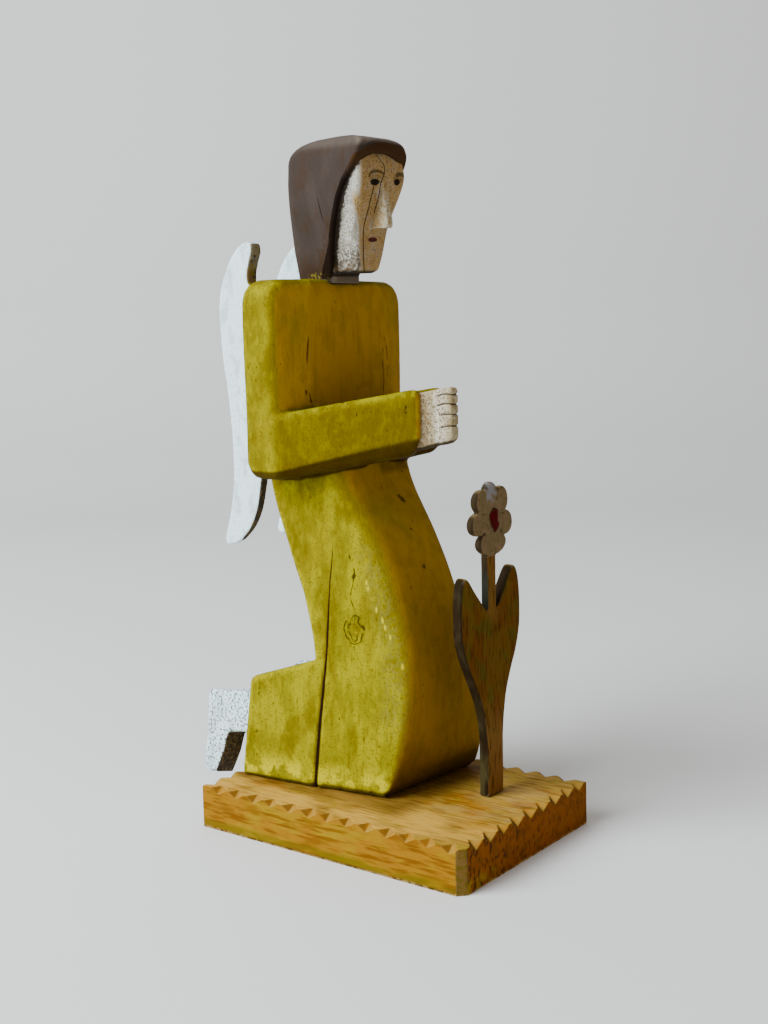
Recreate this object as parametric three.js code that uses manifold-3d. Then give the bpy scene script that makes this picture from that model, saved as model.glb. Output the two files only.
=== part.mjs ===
// Carved and painted kneeling angel: plinth with a chip-carved rim, figure in a long robe,
// two straight wings, two feet and a cut-out flower standing before the knees.
// Millimetres, +Z up. The origin is the middle of the plinth's underside.
// The figure faces -Y, its right side is towards -X.
import * as THREE from "three";
import { ConvexGeometry } from "three/addons/geometries/ConvexGeometry.js";
import { mergeVertices } from "three/addons/utils/BufferGeometryUtils.js";
import Module from "manifold-3d";

// Plinth
const PLINTH_WIDTH = 120.6;
const PLINTH_LENGTH = 172.6;
const PLINTH_THICKNESS = 24;
const CORNER_CUT = 4;
const LONG_SIDE_CHIPS = 13;
const SHORT_SIDE_CHIPS = 9;
const CHIP_START = 6;
const CHIP_END = 1.2;
const CHIP_GAP = 1;
const CHIP_INSET = 6.8;
const CHIP_DROP = 3.4;
const LONG_SIDE_LEAN = 0.38;
const SHORT_SIDE_LEAN = 0.7;
const CHIP_LOW_LEAN = 0.48;

// Figure as a whole
const CENTRE_X = 12;
const FLOOR = PLINTH_THICKNESS;
const ARC_STEPS = 3;

// Robe below the arms: height against front, back and half-widths
const FRONT_NEAR = [
  [24, -13.6], [43, -19.8], [60, -24], [80, -27.2], [100, -26.4], [131, -19], [158, -7.5],
  [187, 11.5], [206, 16],
];
const FRONT_FAR = [
  [24, -21.5], [40, -28], [68, -28.5], [100, -25], [131, -16.5], [158, -5], [187, 10.5],
  [206, 16],
];
const THIGH_BACK = [[24, 29.5], [95, 30], [128, 37.4], [153, 48], [178, 57.8], [192, 61.6], [206, 61]];
const HALF_FRONT = [[24, 36.5], [43, 34.5], [72, 32.2], [116, 31], [206, 31]];
const HALF_BACK = [[24, 43], [95, 41], [140, 38.6], [190, 36.6], [206, 36]];
const ROBE_LEVELS = [24, 25.5, 29, 43, 58, 74, 90, 104, 117, 131, 145, 158, 172, 187, 197, 206];
// The front corners are sharp at the hem and rounder above.
const FRONT_RADIUS = [[24, 1.8], [43, 4], [80, 5.5], [110, 7], [131, 9], [206, 9]];
const ROBE_BACK_RADIUS = 2.5;
const HEM_INSETS = [[24, 3], [25.5, 1.2], [29, 0]];

// Lower legs under the robe
const LEG_OVERLAP = 14;
const LEG_BACK_HALF = 47.2;
const LEG_BACK_LOW = 80;
const LEG_BACK_LEAN = 0.133;
const LEG_TOP_AT = { x: -43, y: 48, z: 88.8 };
const LEG_TOP_FALL = 0.33;
const LEG_TOP_TILT = 0.04;
const LEG_RADIUS = 2;
const LEG_EDGE = 2.2;

// Trunk with the upper arms
const TRUNK_HALF = 55.2;
const TRUNK_LEFT_EXTRA = 2;
const CHEST_HALF = 31;
const CHEST_FRONT = 33;
const ARM_FRONT = 39.4;
const ARM_LEFT_ADVANCE = 1.4;
const SHOULDER_FALL = 0.018;
const TRUNK_BACK = 60.8;
const ELBOW_Z = 192.6;
const SHOULDER_Z = 297;
const TRUNK_RINGS = [
  [ELBOW_Z, 6.5, 5], [194, 3.6, 3], [197, 1.2, 1.2], [201, 0, 0],
  [286, 0, 0], [290.5, 1.3, 0.3], [294.5, 4.5, 1.1], [SHOULDER_Z, 10, 3.2],
];

// Forearms: plan corners of the right one, measured from the middle plane
const FOREARM_PLAN = [[-56, 60.8], [-56, 40.4], [-11, -22.4], [9.6, -8.2], [-31, 50]];
const FOREARM_RADII = [4, 8, 3, 2, 1];
const FOREARM_RISE = 0.26;
const FOREARM_BOTTOM_AT = { y: 17.5, z: 195.6 };
const FOREARM_UNDERCUT = 8.2;
const ELBOW_UNDERCUT = { from: 15, to: 40, share: 0.55 };
const FOREARM_TOP_RISE = 0.195;
const FOREARM_TOP_AT = { y: 41.2, z: 227.2 };

// Joined hands
const HAND_PLAN = [[-9.5, -10], [-8.8, -20], [-3, -36.8], [3, -36.8], [8.8, -20], [9.5, -10]];
const HAND_RADIUS = 1.5;
const HAND_TOP_AT = { y: -20, z: 236.9 };
const HAND_TOP_RISE = 0.2;
const HAND_BOTTOM_AT = { y: -30, z: 209.5 };
const HAND_BOTTOM_RISE = 0.25;
const FINGER_GROOVES = [235.4, 230.4, 225.6, 219.2];
const GROOVE_HALF = 0.9;
const GROOVE_DEPTH = 1.1;

// Head
const HEAD_X = -0.4;
const HOOD_TOP_LEAN = 2.6;
const HOOD_LEAN_FROM = 350;
const HOOD_LEAN_TO = 366;
const HOOD_RINGS = [
  // z, front, back, half width
  [297, 33.5, 58.6, 12.6], [303, 31.2, 58.6, 14.2], [310, 29.6, 58.4, 16.2], [324, 25, 57.4, 19.6],
  [337, 19.5, 56.6, 22.2], [347, 13.8, 55.8, 23.4], [353, 9.2, 55.2, 23.2], [358, 5.6, 54.4, 22.4],
  [362.5, 3.8, 52, 20.8], [366.2, 4.6, 47.6, 18], [368.9, 9.5, 40, 13.8], [370.4, 18, 32, 8],
];
const HOOD_BACK_RADIUS = 7;
const HOOD_FRONT_RADIUS = 2.2;
const HOLLOW_RINGS = [
  [290, 10], [303, 11], [310, 12.8], [324, 16], [337, 18.6], [346, 19.6], [353, 16.5], [358, 9],
];
const HOLLOW_BACK = 34;
const FACE_RINGS = [
  // z, front, half width
  [299.6, 19, 7.5], [301, 16.8, 9.2], [304, 16, 10.2], [310, 15.3, 12.1], [317, 14.4, 13.3], [324, 13.3, 14.8],
  [331, 11.3, 16.5], [338, 8.8, 18.2], [347, 6, 19.8], [353, 6, 20], [361, 7.6, 18.4],
];
const FACE_BACK = 36;
const FACE_RADIUS = 2.5;
const NOSE_RINGS = [[322.4, 2.6, 2.6], [324, 2, 2.8], [338, 3.8, 2.5], [347, 5, 3], [352, 6.6, 4.5]];
const NOSE_BACK = 18;
const NECK = { half: 12.6, front: 31.8, back: 50, low: 293.6, high: 304, radius: 4 };

// Drying crack up the right flank
const CRACK = {
  low: 20, high: 140, lowY: 29.4, highY: 18.8, halfWidth: 1.9, topHalf: 0.45,
  lowDepth: 19, highDepth: 4,
};

// Wings: outline in the Y-Z plane, each wing a flat board
const WING_OUTLINE = [
  [77.2, 317], [82.4, 318.2], [88.6, 314.8], [94.6, 308], [100.3, 297], [103.2, 284], [103, 270], [101.3, 251],
  [99.1, 235], [97.8, 215], [98.2, 190], [101, 172], [105.2, 159], [107.2, 152], [104.8, 149.2], [98, 150.6],
  [91.6, 155], [85.2, 162], [80.2, 172], [77, 185], [74.4, 197],
];
const WING_FRONT = [[76.8, 312.4], [79, 307], [80.6, 301], [80.6, 296.5], [73.4, 289]];
const WING_CONTACT = { low: 210, high: 280, y: TRUNK_BACK + 0.3 };
const WING_OFFSET = 22.5;
const WING_THICKNESS = 8.4;
const WING_THIN_Z = 150;
const WING_THICK_Z = 240;
const WING_THIN_SHARE = 0.55;
const WING_BEVEL = 1.2;

// Feet: side outline of the right one in the Y-Z plane, and the back of the legs that it hangs on
const FOOT_OUTLINE = [
  [94, 68.9], [108.2, 67.8], [110.8, 64], [112.6, 44], [114.9, 30], [116, 19.8], [114.8, 18.2],
  [107.2, 18.4], [103.6, 24.6], [99.6, 32.8], [97.6, 39], [96, 43.4], [93.6, 45.1],
];
const ANKLE_TOP = 70.4;
const ANKLE_BOTTOM = 46.6;
const FOOT_OFFSET = 32.7;
const FOOT_WIDTH = 14.6;
const FOOT_FALL = { share: 0.27, from: 84, to: 94 };
const FOOT_BEVEL = 1.4;
const FOOT_GAP = 0.3;

// Flower: front outline of stem and leaves, and the blossom, in the plane of the board
const FLOWER_AT = { x: 14.1, y: -56.9 };
const FLOWER_TURN = THREE.MathUtils.degToRad(-5);
const FLOWER_THICKNESS = 6.4;
const STEM_RIGHT = [
  [7.8, 24], [8.2, 40], [8.4, 58], [10.8, 75], [14.6, 87], [20.2, 100], [23.6, 113], [23.8, 128],
  [22.2, 139],
];
const RIGHT_TIP = [[18.8, 145.2], [16, 143], [11.8, 138], [8, 132], [4.6, 126.4]];
const FORK_RIGHT = [3.2, 123.4];
const FORK_LEFT = [-4, 123.6];
const STEM_TOP = [[-4, 121], [3.4, 121], [3.4, 158], [-3.9, 158]];
const STEM_TOP_THICKNESS = 4.6;
const LEFT_TIP = [[-9, 130], [-14.4, 136.6], [-19, 142.4], [-22.6, 143.4]];
const STEM_LEFT = [
  [-25, 136], [-26, 125], [-25.4, 112], [-21.4, 99], [-15, 86], [-9, 72], [-6, 57], [-5.6, 40],
  [-5.5, 24],
];
const BLOSSOM = { s: 1.6, z: 171.6, halfWidth: 7.6, halfHeight: 11, thickness: 4.6 };
const PETALS = [
  // middle s, middle z, half width, half height
  [0.6, 185.4, 4.9, 5.8], [9.6, 181.2, 4.9, 7], [12.8, 168.9, 5.4, 6.4],
  [1.6, 159.2, 11.2, 6.6], [-9.6, 169.9, 6.6, 6], [-6.6, 181.4, 6, 6.2],
];
const BUTTON = { s: 2.3, z: 171.2, halfWidth: 3.8, halfHeight: 6, proud: 1.1 };

const PAINTS = {
  robe: 0xb3a31a,
  plinth: 0xb5802f,
  white: 0xe3e6e4,
  bark: 0x6a5633,
};

const wasm = await Module();
wasm.setup();

// A closed solid for joining and cutting, from any closed geometry.
function solidOf(geometry) {
  const bare = geometry.clone();
  bare.deleteAttribute("normal");
  bare.deleteAttribute("uv");
  const merged = mergeVertices(bare, 1e-4);
  const mesh = new wasm.Mesh({
    numProp: 3,
    vertProperties: new Float32Array(merged.attributes.position.array),
    triVerts: new Uint32Array(merged.index.array),
  });
  return new wasm.Manifold(mesh);
}

// The geometry of a joined or cut solid.
function geometryOf(solid) {
  const mesh = solid.getMesh();
  const geometry = new THREE.BufferGeometry();
  geometry.setAttribute("position", new THREE.BufferAttribute(mesh.vertProperties, 3));
  geometry.setIndex(new THREE.BufferAttribute(mesh.triVerts, 1));
  geometry.computeVertexNormals();
  return geometry;
}

// A smooth value through knots [at, value]: cubic pieces whose slopes are the means of their neighbours.
function profile(knots) {
  const slopes = knots.map((knot, i) => {
    const before = knots[Math.max(i - 1, 0)];
    const after = knots[Math.min(i + 1, knots.length - 1)];
    return (after[1] - before[1]) / (after[0] - before[0]);
  });
  return (at) => {
    const last = knots.length - 1;
    if (at <= knots[0][0]) return knots[0][1];
    if (at >= knots[last][0]) return knots[last][1];
    const i = knots.findIndex((knot) => knot[0] > at) - 1;
    const span = knots[i + 1][0] - knots[i][0];
    const t = (at - knots[i][0]) / span;
    const a = knots[i][1];
    const b = knots[i + 1][1];
    const startPart = (1 + 2 * t) * (1 - t) ** 2 * a + t * (1 - t) ** 2 * span * slopes[i];
    const endPart = t * t * (3 - 2 * t) * b - t * t * (1 - t) * span * slopes[i + 1];
    return startPart + endPart;
  };
}

// The plan of a convex polygon (anticlockwise) moved in by inset, each corner turned with its radius.
function roundedPlan(corners, radii, inset) {
  const points = [];
  const count = corners.length;
  const outward = corners.map((corner, i) => {
    const next = corners[(i + 1) % count];
    return new THREE.Vector2(next[1] - corner[1], corner[0] - next[0]).normalize();
  });
  corners.forEach((corner, i) => {
    const n1 = outward[(i + count - 1) % count];
    const n2 = outward[i];
    const radius = Math.max(radii[i] - inset, 0.4);
    const back = radius + inset;
    const share = back / (1 + n1.dot(n2));
    const cx = corner[0] - (n1.x + n2.x) * share;
    const cy = corner[1] - (n1.y + n2.y) * share;
    const from = n1.angle();
    const turn = (n2.angle() - from + 2 * Math.PI) % (2 * Math.PI);
    for (let k = 0; k <= ARC_STEPS; k += 1) {
      const angle = from + (turn * k) / ARC_STEPS;
      points.push([cx + radius * Math.cos(angle), cy + radius * Math.sin(angle)]);
    }
  });
  return points;
}

// A ring of points: a rounded plan at a height, or on a slope when height is a function of x and y.
function ring(corners, radii, inset, height, shiftX = CENTRE_X) {
  return roundedPlan(corners, radii, inset).map(([x, y]) => {
    const z = typeof height === "function" ? height(x, y) : height;
    return [x + shiftX, y, z];
  });
}

// A closed body through rings of equal length, bottom to top, with fans on both ends.
function loft(rings) {
  const size = rings[0].length;
  const positions = rings.flat(2);
  const index = [];
  for (let level = 0; level + 1 < rings.length; level += 1) {
    for (let i = 0; i < size; i += 1) {
      const a = level * size + i;
      const b = level * size + ((i + 1) % size);
      index.push(a, b, b + size, a, b + size, a + size);
    }
  }
  [0, rings.length - 1].forEach((level) => {
    const middle = positions.length / 3;
    const centre = [0, 1, 2].map((axis) => rings[level].reduce((sum, p) => sum + p[axis], 0) / size);
    positions.push(...centre);
    for (let i = 0; i < size; i += 1) {
      const a = level * size + i;
      const b = level * size + ((i + 1) % size);
      if (level === 0) index.push(middle, b, a);
      else index.push(middle, a, b);
    }
  });
  const geometry = new THREE.BufferGeometry();
  geometry.setAttribute("position", new THREE.Float32BufferAttribute(positions, 3));
  geometry.setIndex(index);
  return geometry;
}

function mirrorPlan(corners) {
  return corners.map(([x, y]) => [-x, y]).reverse();
}

function boxPlan(half, front, back) {
  return [[-half, front], [half, front], [half, back], [-half, back]];
}

function join(geometries) {
  return geometries.map(solidOf).reduce((whole, next) => whole.add(next));
}

function hull(points) {
  return new ConvexGeometry(points.map((p) => new THREE.Vector3(...p)));
}

// One three-sided chip on the rim. along runs down the side, across points out of it.
// lean is the share of the chip's length at which its inner tip stands.
function rimChip(from, to, along, across, edge, lean) {
  const place = (run, out, z) => [
    along[0] * run + across[0] * (edge + out),
    along[1] * run + across[1] * (edge + out),
    PLINTH_THICKNESS + z,
  ];
  const span = to - from;
  return hull([
    place(from, 0, 0),
    place(to, 0, 0),
    place(from + span * lean, -CHIP_INSET, 0),
    place(from + span * CHIP_LOW_LEAN, 0, -CHIP_DROP),
    place(from + span / 2, 2, 2),
  ]);
}

function makePlinth() {
  const block = new THREE.BoxGeometry(PLINTH_WIDTH, PLINTH_LENGTH, PLINTH_THICKNESS);
  block.translate(0, 0, PLINTH_THICKNESS / 2);
  const long = { edge: PLINTH_WIDTH / 2, length: PLINTH_LENGTH, chips: LONG_SIDE_CHIPS, lean: LONG_SIDE_LEAN };
  const short = { edge: PLINTH_LENGTH / 2, length: PLINTH_WIDTH, chips: SHORT_SIDE_CHIPS, lean: SHORT_SIDE_LEAN };
  const sides = [
    { along: [0, -1], across: [-1, 0], ...long },
    { along: [1, 0], across: [0, -1], ...short },
    { along: [0, 1], across: [1, 0], ...long },
    { along: [-1, 0], across: [0, 1], ...short },
  ];
  const cuts = [];
  sides.forEach(({ along, across, edge, length, chips, lean }) => {
    const pitch = (length - CHIP_START - CHIP_END) / chips;
    for (let i = 0; i < chips; i += 1) {
      const from = -length / 2 + CHIP_START + i * pitch + CHIP_GAP / 2;
      cuts.push(rimChip(from, from + pitch - CHIP_GAP, along, across, edge, lean));
    }
  });
  const cornerX = -PLINTH_WIDTH / 2;
  const cornerY = -PLINTH_LENGTH / 2;
  const corner = [];
  [-1, PLINTH_THICKNESS + 1].forEach((z) => {
    corner.push([cornerX + CORNER_CUT, cornerY - 0.01, z]);
    corner.push([cornerX - 0.01, cornerY + CORNER_CUT, z]);
    corner.push([cornerX - 2, cornerY - 2, z]);
  });
  cuts.push(hull(corner));
  return geometryOf(solidOf(block).subtract(join(cuts)));
}

function makeRobe() {
  const frontNear = profile(FRONT_NEAR);
  const frontFar = profile(FRONT_FAR);
  const back = profile(THIGH_BACK);
  const halfFront = profile(HALF_FRONT);
  const halfBack = profile(HALF_BACK);
  const hem = profile(HEM_INSETS);
  const frontRadius = profile(FRONT_RADIUS);
  return loft(ROBE_LEVELS.map((z) => {
    const radii = [frontRadius(z), frontRadius(z), ROBE_BACK_RADIUS, ROBE_BACK_RADIUS];
    const corners = [
      [-halfFront(z), frontNear(z)],
      [halfFront(z), frontFar(z)],
      [halfBack(z), back(z)],
      [-halfBack(z), back(z)],
    ];
    return ring(corners, radii, hem(z), z);
  }));
}

function legTop(x, y) {
  return LEG_TOP_AT.z - (y - LEG_TOP_AT.y) * LEG_TOP_FALL - (x - LEG_TOP_AT.x) * LEG_TOP_TILT;
}

function legBack(z) {
  return LEG_BACK_LOW - (z - FLOOR) * LEG_BACK_LEAN;
}

function makeLegs() {
  const flankHalf = profile(HALF_BACK);
  const frontHalf = profile(HALF_FRONT);
  const thighY = profile(THIGH_BACK);
  const frontY = profile(FRONT_NEAR);
  const topZ = LEG_TOP_AT.z - LEG_EDGE;
  const radii = [2, 2, 1, LEG_RADIUS, LEG_RADIUS, 1];
  const plan = (z) => {
    const slope = (flankHalf(z) - frontHalf(z)) / (thighY(z) - frontY(z));
    const meetY = thighY(z) - ROBE_BACK_RADIUS;
    const meet = flankHalf(z) - ROBE_BACK_RADIUS * slope - 0.05;
    const inner = meet - LEG_OVERLAP / 2;
    const front = meetY - LEG_OVERLAP;
    const right = [[inner, front], [meet, meetY], [LEG_BACK_HALF, legBack(z)]];
    return [[-inner, front], ...right, [-LEG_BACK_HALF, legBack(z)], [-meet, meetY]];
  };
  return loft([
    ring(plan(FLOOR), radii, LEG_EDGE * 0.7, FLOOR),
    ring(plan(FLOOR + 2), radii, 0, FLOOR + 2),
    ring(plan(topZ), radii, 0, (x, y) => legTop(x, y) - LEG_EDGE),
    ring(plan(topZ), radii, LEG_EDGE * 0.3, (x, y) => legTop(x, y) - LEG_EDGE * 0.3),
    ring(plan(topZ), radii, LEG_EDGE, (x, y) => legTop(x, y)),
  ]);
}

function makeTrunk() {
  return loft(TRUNK_RINGS.map(([z, inX, inY]) => {
    const half = TRUNK_HALF - inX;
    const halfLeft = half + TRUNK_LEFT_EXTRA;
    const chest = CHEST_HALF - inX * 0.4;
    const corners = [
      [-half, ARM_FRONT + inY],
      [-chest, CHEST_FRONT + inY],
      [chest, CHEST_FRONT + inY],
      [halfLeft, ARM_FRONT - ARM_LEFT_ADVANCE + inY],
      [halfLeft, TRUNK_BACK - inY],
      [-half, TRUNK_BACK - inY],
    ];
    const outer = Math.max(8 - inY, 2);
    const fall = z > SHOULDER_Z - 12 ? SHOULDER_FALL : 0;
    return ring(corners, [outer, 4, 4, outer, 3, 3], 0, (x) => z - fall * (x + half));
  }));
}

function forearmBottom(y) {
  return Math.max(ELBOW_Z, FOREARM_BOTTOM_AT.z + (FOREARM_BOTTOM_AT.y - y) * FOREARM_RISE);
}

function forearmTop(y) {
  return FOREARM_TOP_AT.z + (FOREARM_TOP_AT.y - y) * FOREARM_TOP_RISE;
}

// The undercut along the forearm's lower edge runs out towards the elbow.
function undercut(y) {
  const { from, to, share } = ELBOW_UNDERCUT;
  return 1 - (1 - share) * THREE.MathUtils.clamp((y - from) / (to - from), 0, 1);
}

function makeForearm(plan, radii) {
  return loft([
    ring(plan, radii, 5.5, (x, y) => forearmBottom(y)),
    ring(plan, radii, 2.8, (x, y) => forearmBottom(y) + 1.8 * undercut(y)),
    ring(plan, radii, 0, (x, y) => forearmBottom(y) + FOREARM_UNDERCUT * undercut(y)),
    ring(plan, radii, 0, (x, y) => forearmTop(y) - 4),
    ring(plan, radii, 0.9, (x, y) => forearmTop(y) - 1.2),
    ring(plan, radii, 3.2, (x, y) => forearmTop(y)),
  ]);
}

function makeHands() {
  const radii = HAND_PLAN.map(() => HAND_RADIUS);
  const top = (x, y) => HAND_TOP_AT.z + (HAND_TOP_AT.y - y) * HAND_TOP_RISE;
  const bottom = (x, y) => HAND_BOTTOM_AT.z + (HAND_BOTTOM_AT.y - y) * HAND_BOTTOM_RISE;
  const block = loft([
    ring(HAND_PLAN, radii, 2.4, bottom),
    ring(HAND_PLAN, radii, 0.6, (x, y) => bottom(x, y) + 1.4),
    ring(HAND_PLAN, radii, 0, (x, y) => bottom(x, y) + 3.4),
    ring(HAND_PLAN, radii, 0, (x, y) => top(x, y) - 3),
    ring(HAND_PLAN, radii, 0.7, (x, y) => top(x, y) - 0.9),
    ring(HAND_PLAN, radii, 2.2, top),
  ]);
  const grooves = [];
  const [, wrist, tip] = HAND_PLAN;
  const faceAt = (y) => wrist[0] + ((y - wrist[1]) / (tip[1] - wrist[1])) * (tip[0] - wrist[0]);
  FINGER_GROOVES.forEach((z) => {
    [1, -1].forEach((side) => {
      const points = [];
      [-26.5, -38].forEach((y) => {
        const face = faceAt(y);
        points.push([CENTRE_X + side * (face + GROOVE_DEPTH), y, z]);
        points.push([CENTRE_X + side * (face - 1), y, z + 2 * GROOVE_HALF]);
        points.push([CENTRE_X + side * (face - 1), y, z - 2 * GROOVE_HALF]);
      });
      grooves.push(hull(points));
    });
  });
  return solidOf(block).subtract(join(grooves));
}

function makeHead() {
  const shift = CENTRE_X + HEAD_X;
  const hoodRadii = [HOOD_FRONT_RADIUS, HOOD_FRONT_RADIUS, HOOD_BACK_RADIUS, HOOD_BACK_RADIUS];
  const hood = loft(HOOD_RINGS.map(([z, front, back, half]) => {
    const room = Math.min(half, (back - front) / 2) - 0.6;
    const radii = hoodRadii.map((radius) => Math.min(radius, room));
    const lean = HOOD_TOP_LEAN * THREE.MathUtils.smoothstep(z, HOOD_LEAN_FROM, HOOD_LEAN_TO);
    return ring(boxPlan(half, front, back), radii, 0, z, shift - lean);
  }));
  const hollow = loft(HOLLOW_RINGS.map(([z, half]) =>
    ring(boxPlan(half, -20, HOLLOW_BACK), [1, 1, 1, 1], 0, z, shift)));
  const faceRadii = [FACE_RADIUS, FACE_RADIUS, 1, 1];
  const face = loft(FACE_RINGS.map(([z, front, half]) =>
    ring(boxPlan(half, front, FACE_BACK), faceRadii, 0, z, shift)));
  const nose = loft(NOSE_RINGS.map(([z, front, half]) =>
    ring(boxPlan(half, front, NOSE_BACK), [1.2, 1.2, 0.5, 0.5], 0, z, shift)));
  const neckRadii = [NECK.radius, NECK.radius, NECK.radius, NECK.radius];
  const neck = loft([NECK.low, NECK.high].map((z) =>
    ring(boxPlan(NECK.half, NECK.front, NECK.back), neckRadii, 0, z, shift)));
  return solidOf(hood).subtract(solidOf(hollow)).add(join([face, nose, neck]));
}

// The long drying crack: a wedge that is widest and deepest at the hem.
function makeCrack() {
  const outside = CENTRE_X - LEG_BACK_HALF - 10;
  const face = CENTRE_X - 42;
  return hull([
    [outside, CRACK.lowY - CRACK.halfWidth * 1.4, CRACK.low],
    [outside, CRACK.lowY + CRACK.halfWidth * 1.4, CRACK.low],
    [face + CRACK.lowDepth, CRACK.lowY, CRACK.low],
    [outside, CRACK.highY - CRACK.topHalf, CRACK.high],
    [outside, CRACK.highY + CRACK.topHalf, CRACK.high],
    [face + 6 + CRACK.highDepth, CRACK.highY, CRACK.high],
  ]);
}

function makeFigure() {
  const left = mirrorPlan(FOREARM_PLAN);
  const body = join([
    makeRobe(),
    makeLegs(),
    makeTrunk(),
    makeForearm(FOREARM_PLAN, FOREARM_RADII),
    makeForearm(left, [...FOREARM_RADII].reverse()),
  ]);
  return geometryOf(body.add(makeHands()).add(makeHead()).subtract(solidOf(makeCrack())));
}

// A flat board from an outline [u, v] in the Y-Z plane, its thickness along X about zero.
function boardYZ(outline, thickness, bevel) {
  const shape = new THREE.Shape(outline.map(([y, z]) => new THREE.Vector2(y, z)));
  const geometry = new THREE.ExtrudeGeometry(shape, {
    depth: thickness - 2 * bevel,
    bevelEnabled: true,
    bevelThickness: bevel,
    bevelSize: bevel,
    bevelOffset: -bevel,
    bevelSegments: 1,
    curveSegments: 4,
  });
  geometry.translate(0, 0, bevel - thickness / 2);
  const turn = new THREE.Matrix4().set(0, 0, 1, 0, 1, 0, 0, 0, 0, 1, 0, 0, 0, 0, 0, 1);
  return geometry.applyMatrix4(turn);
}

function makeWing() {
  const curve = new THREE.CatmullRomCurve3(WING_OUTLINE.map(([y, z]) => new THREE.Vector3(y, z, 0)));
  const outer = curve.getPoints(WING_OUTLINE.length * 2).map((p) => [p.x, p.y]);
  const contact = [[WING_CONTACT.y, WING_CONTACT.low], [WING_CONTACT.y, WING_CONTACT.high]];
  const outline = [...outer, ...contact, ...[...WING_FRONT].reverse()];
  const geometry = boardYZ(outline.reverse(), WING_THICKNESS, WING_BEVEL);
  const position = geometry.attributes.position;
  for (let i = 0; i < position.count; i += 1) {
    const height = (position.getZ(i) - WING_THIN_Z) / (WING_THICK_Z - WING_THIN_Z);
    const share = WING_THIN_SHARE + (1 - WING_THIN_SHARE) * THREE.MathUtils.clamp(height, 0, 1);
    position.setX(i, position.getX(i) * share);
  }
  return geometryOf(solidOf(geometry));
}

// Behind the heel the foot is carved lower on its inner side; outer is -1 or 1, the side left high.
function makeFoot(outer) {
  const meet = (z) => legBack(z) + FOOT_GAP;
  const outline = [
    [meet(ANKLE_TOP), ANKLE_TOP],
    ...FOOT_OUTLINE,
    [meet(ANKLE_BOTTOM), ANKLE_BOTTOM],
  ];
  const geometry = boardYZ([...outline].reverse(), FOOT_WIDTH, FOOT_BEVEL);
  const places = geometry.attributes.position;
  for (let i = 0; i < places.count; i += 1) {
    const inwards = FOOT_WIDTH / 2 - outer * places.getX(i);
    const { share, from, to } = FOOT_FALL;
    const behind = THREE.MathUtils.clamp((places.getY(i) - from) / (to - from), 0, 1);
    places.setZ(i, places.getZ(i) - share * inwards * behind);
  }
  return geometryOf(solidOf(geometry));
}

// A board in the X-Z plane with its front on y = 0 and its back on y = thickness.
function boardXZ(outline, thickness, front = 0) {
  const shape = new THREE.Shape(outline.map(([s, z]) => new THREE.Vector2(s, z)));
  const geometry = new THREE.ExtrudeGeometry(shape, { depth: thickness, bevelEnabled: false });
  geometry.rotateX(Math.PI / 2);
  geometry.translate(0, front + thickness, 0);
  return geometry;
}

function ellipse(s, z, halfWidth, halfHeight, steps) {
  return Array.from({ length: steps }, (_, i) => {
    const angle = (2 * Math.PI * i) / steps;
    return [s + halfWidth * Math.cos(angle), z + halfHeight * Math.sin(angle)];
  });
}

function makeFlower() {
  const outline = [
    ...STEM_RIGHT, ...RIGHT_TIP, FORK_RIGHT,
    FORK_LEFT, ...LEFT_TIP, ...STEM_LEFT,
  ];
  const parts = [boardXZ(outline, FLOWER_THICKNESS), boardXZ(STEM_TOP, STEM_TOP_THICKNESS)];
  const hub = ellipse(BLOSSOM.s, BLOSSOM.z, BLOSSOM.halfWidth, BLOSSOM.halfHeight, 18);
  parts.push(boardXZ(hub, BLOSSOM.thickness));
  PETALS.forEach(([s, z, halfWidth, halfHeight]) => {
    parts.push(boardXZ(ellipse(s, z, halfWidth, halfHeight, 16), BLOSSOM.thickness));
  });
  const button = ellipse(BUTTON.s, BUTTON.z, BUTTON.halfWidth, BUTTON.halfHeight, 16);
  parts.push(boardXZ(button, BUTTON.proud + 2, -BUTTON.proud));
  const geometry = geometryOf(join(parts));
  geometry.rotateZ(FLOWER_TURN);
  return geometry;
}

function paint(colour, roughness) {
  return new THREE.MeshStandardMaterial({ color: colour, roughness, metalness: 0 });
}

function piece(name, geometry, material, at = [0, 0, 0]) {
  const mesh = new THREE.Mesh(geometry, material);
  mesh.name = name;
  mesh.position.set(...at);
  return mesh;
}

const group = new THREE.Group();
group.add(piece("base", makePlinth(), paint(PAINTS.plinth, 0.75)));
group.add(piece("figure", makeFigure(), paint(PAINTS.robe, 0.65)));
const wing = makeWing();
group.add(piece("wing_right", wing, paint(PAINTS.white, 0.8), [CENTRE_X - WING_OFFSET, 0, 0]));
group.add(piece("wing_left", wing, paint(PAINTS.white, 0.8), [CENTRE_X + WING_OFFSET, 0, 0]));
group.add(piece("foot_right", makeFoot(-1), paint(PAINTS.white, 0.8), [CENTRE_X - FOOT_OFFSET, 0, 0]));
group.add(piece("foot_left", makeFoot(1), paint(PAINTS.white, 0.8), [CENTRE_X + FOOT_OFFSET, 0, 0]));
group.add(piece("flower", makeFlower(), paint(PAINTS.bark, 0.8), [FLOWER_AT.x, FLOWER_AT.y, 0]));

export default group;
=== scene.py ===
import logging
from collections.abc import Sequence
from dataclasses import dataclass
from enum import Enum

import bpy
import numpy as np
from mathutils import Matrix, Vector


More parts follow.
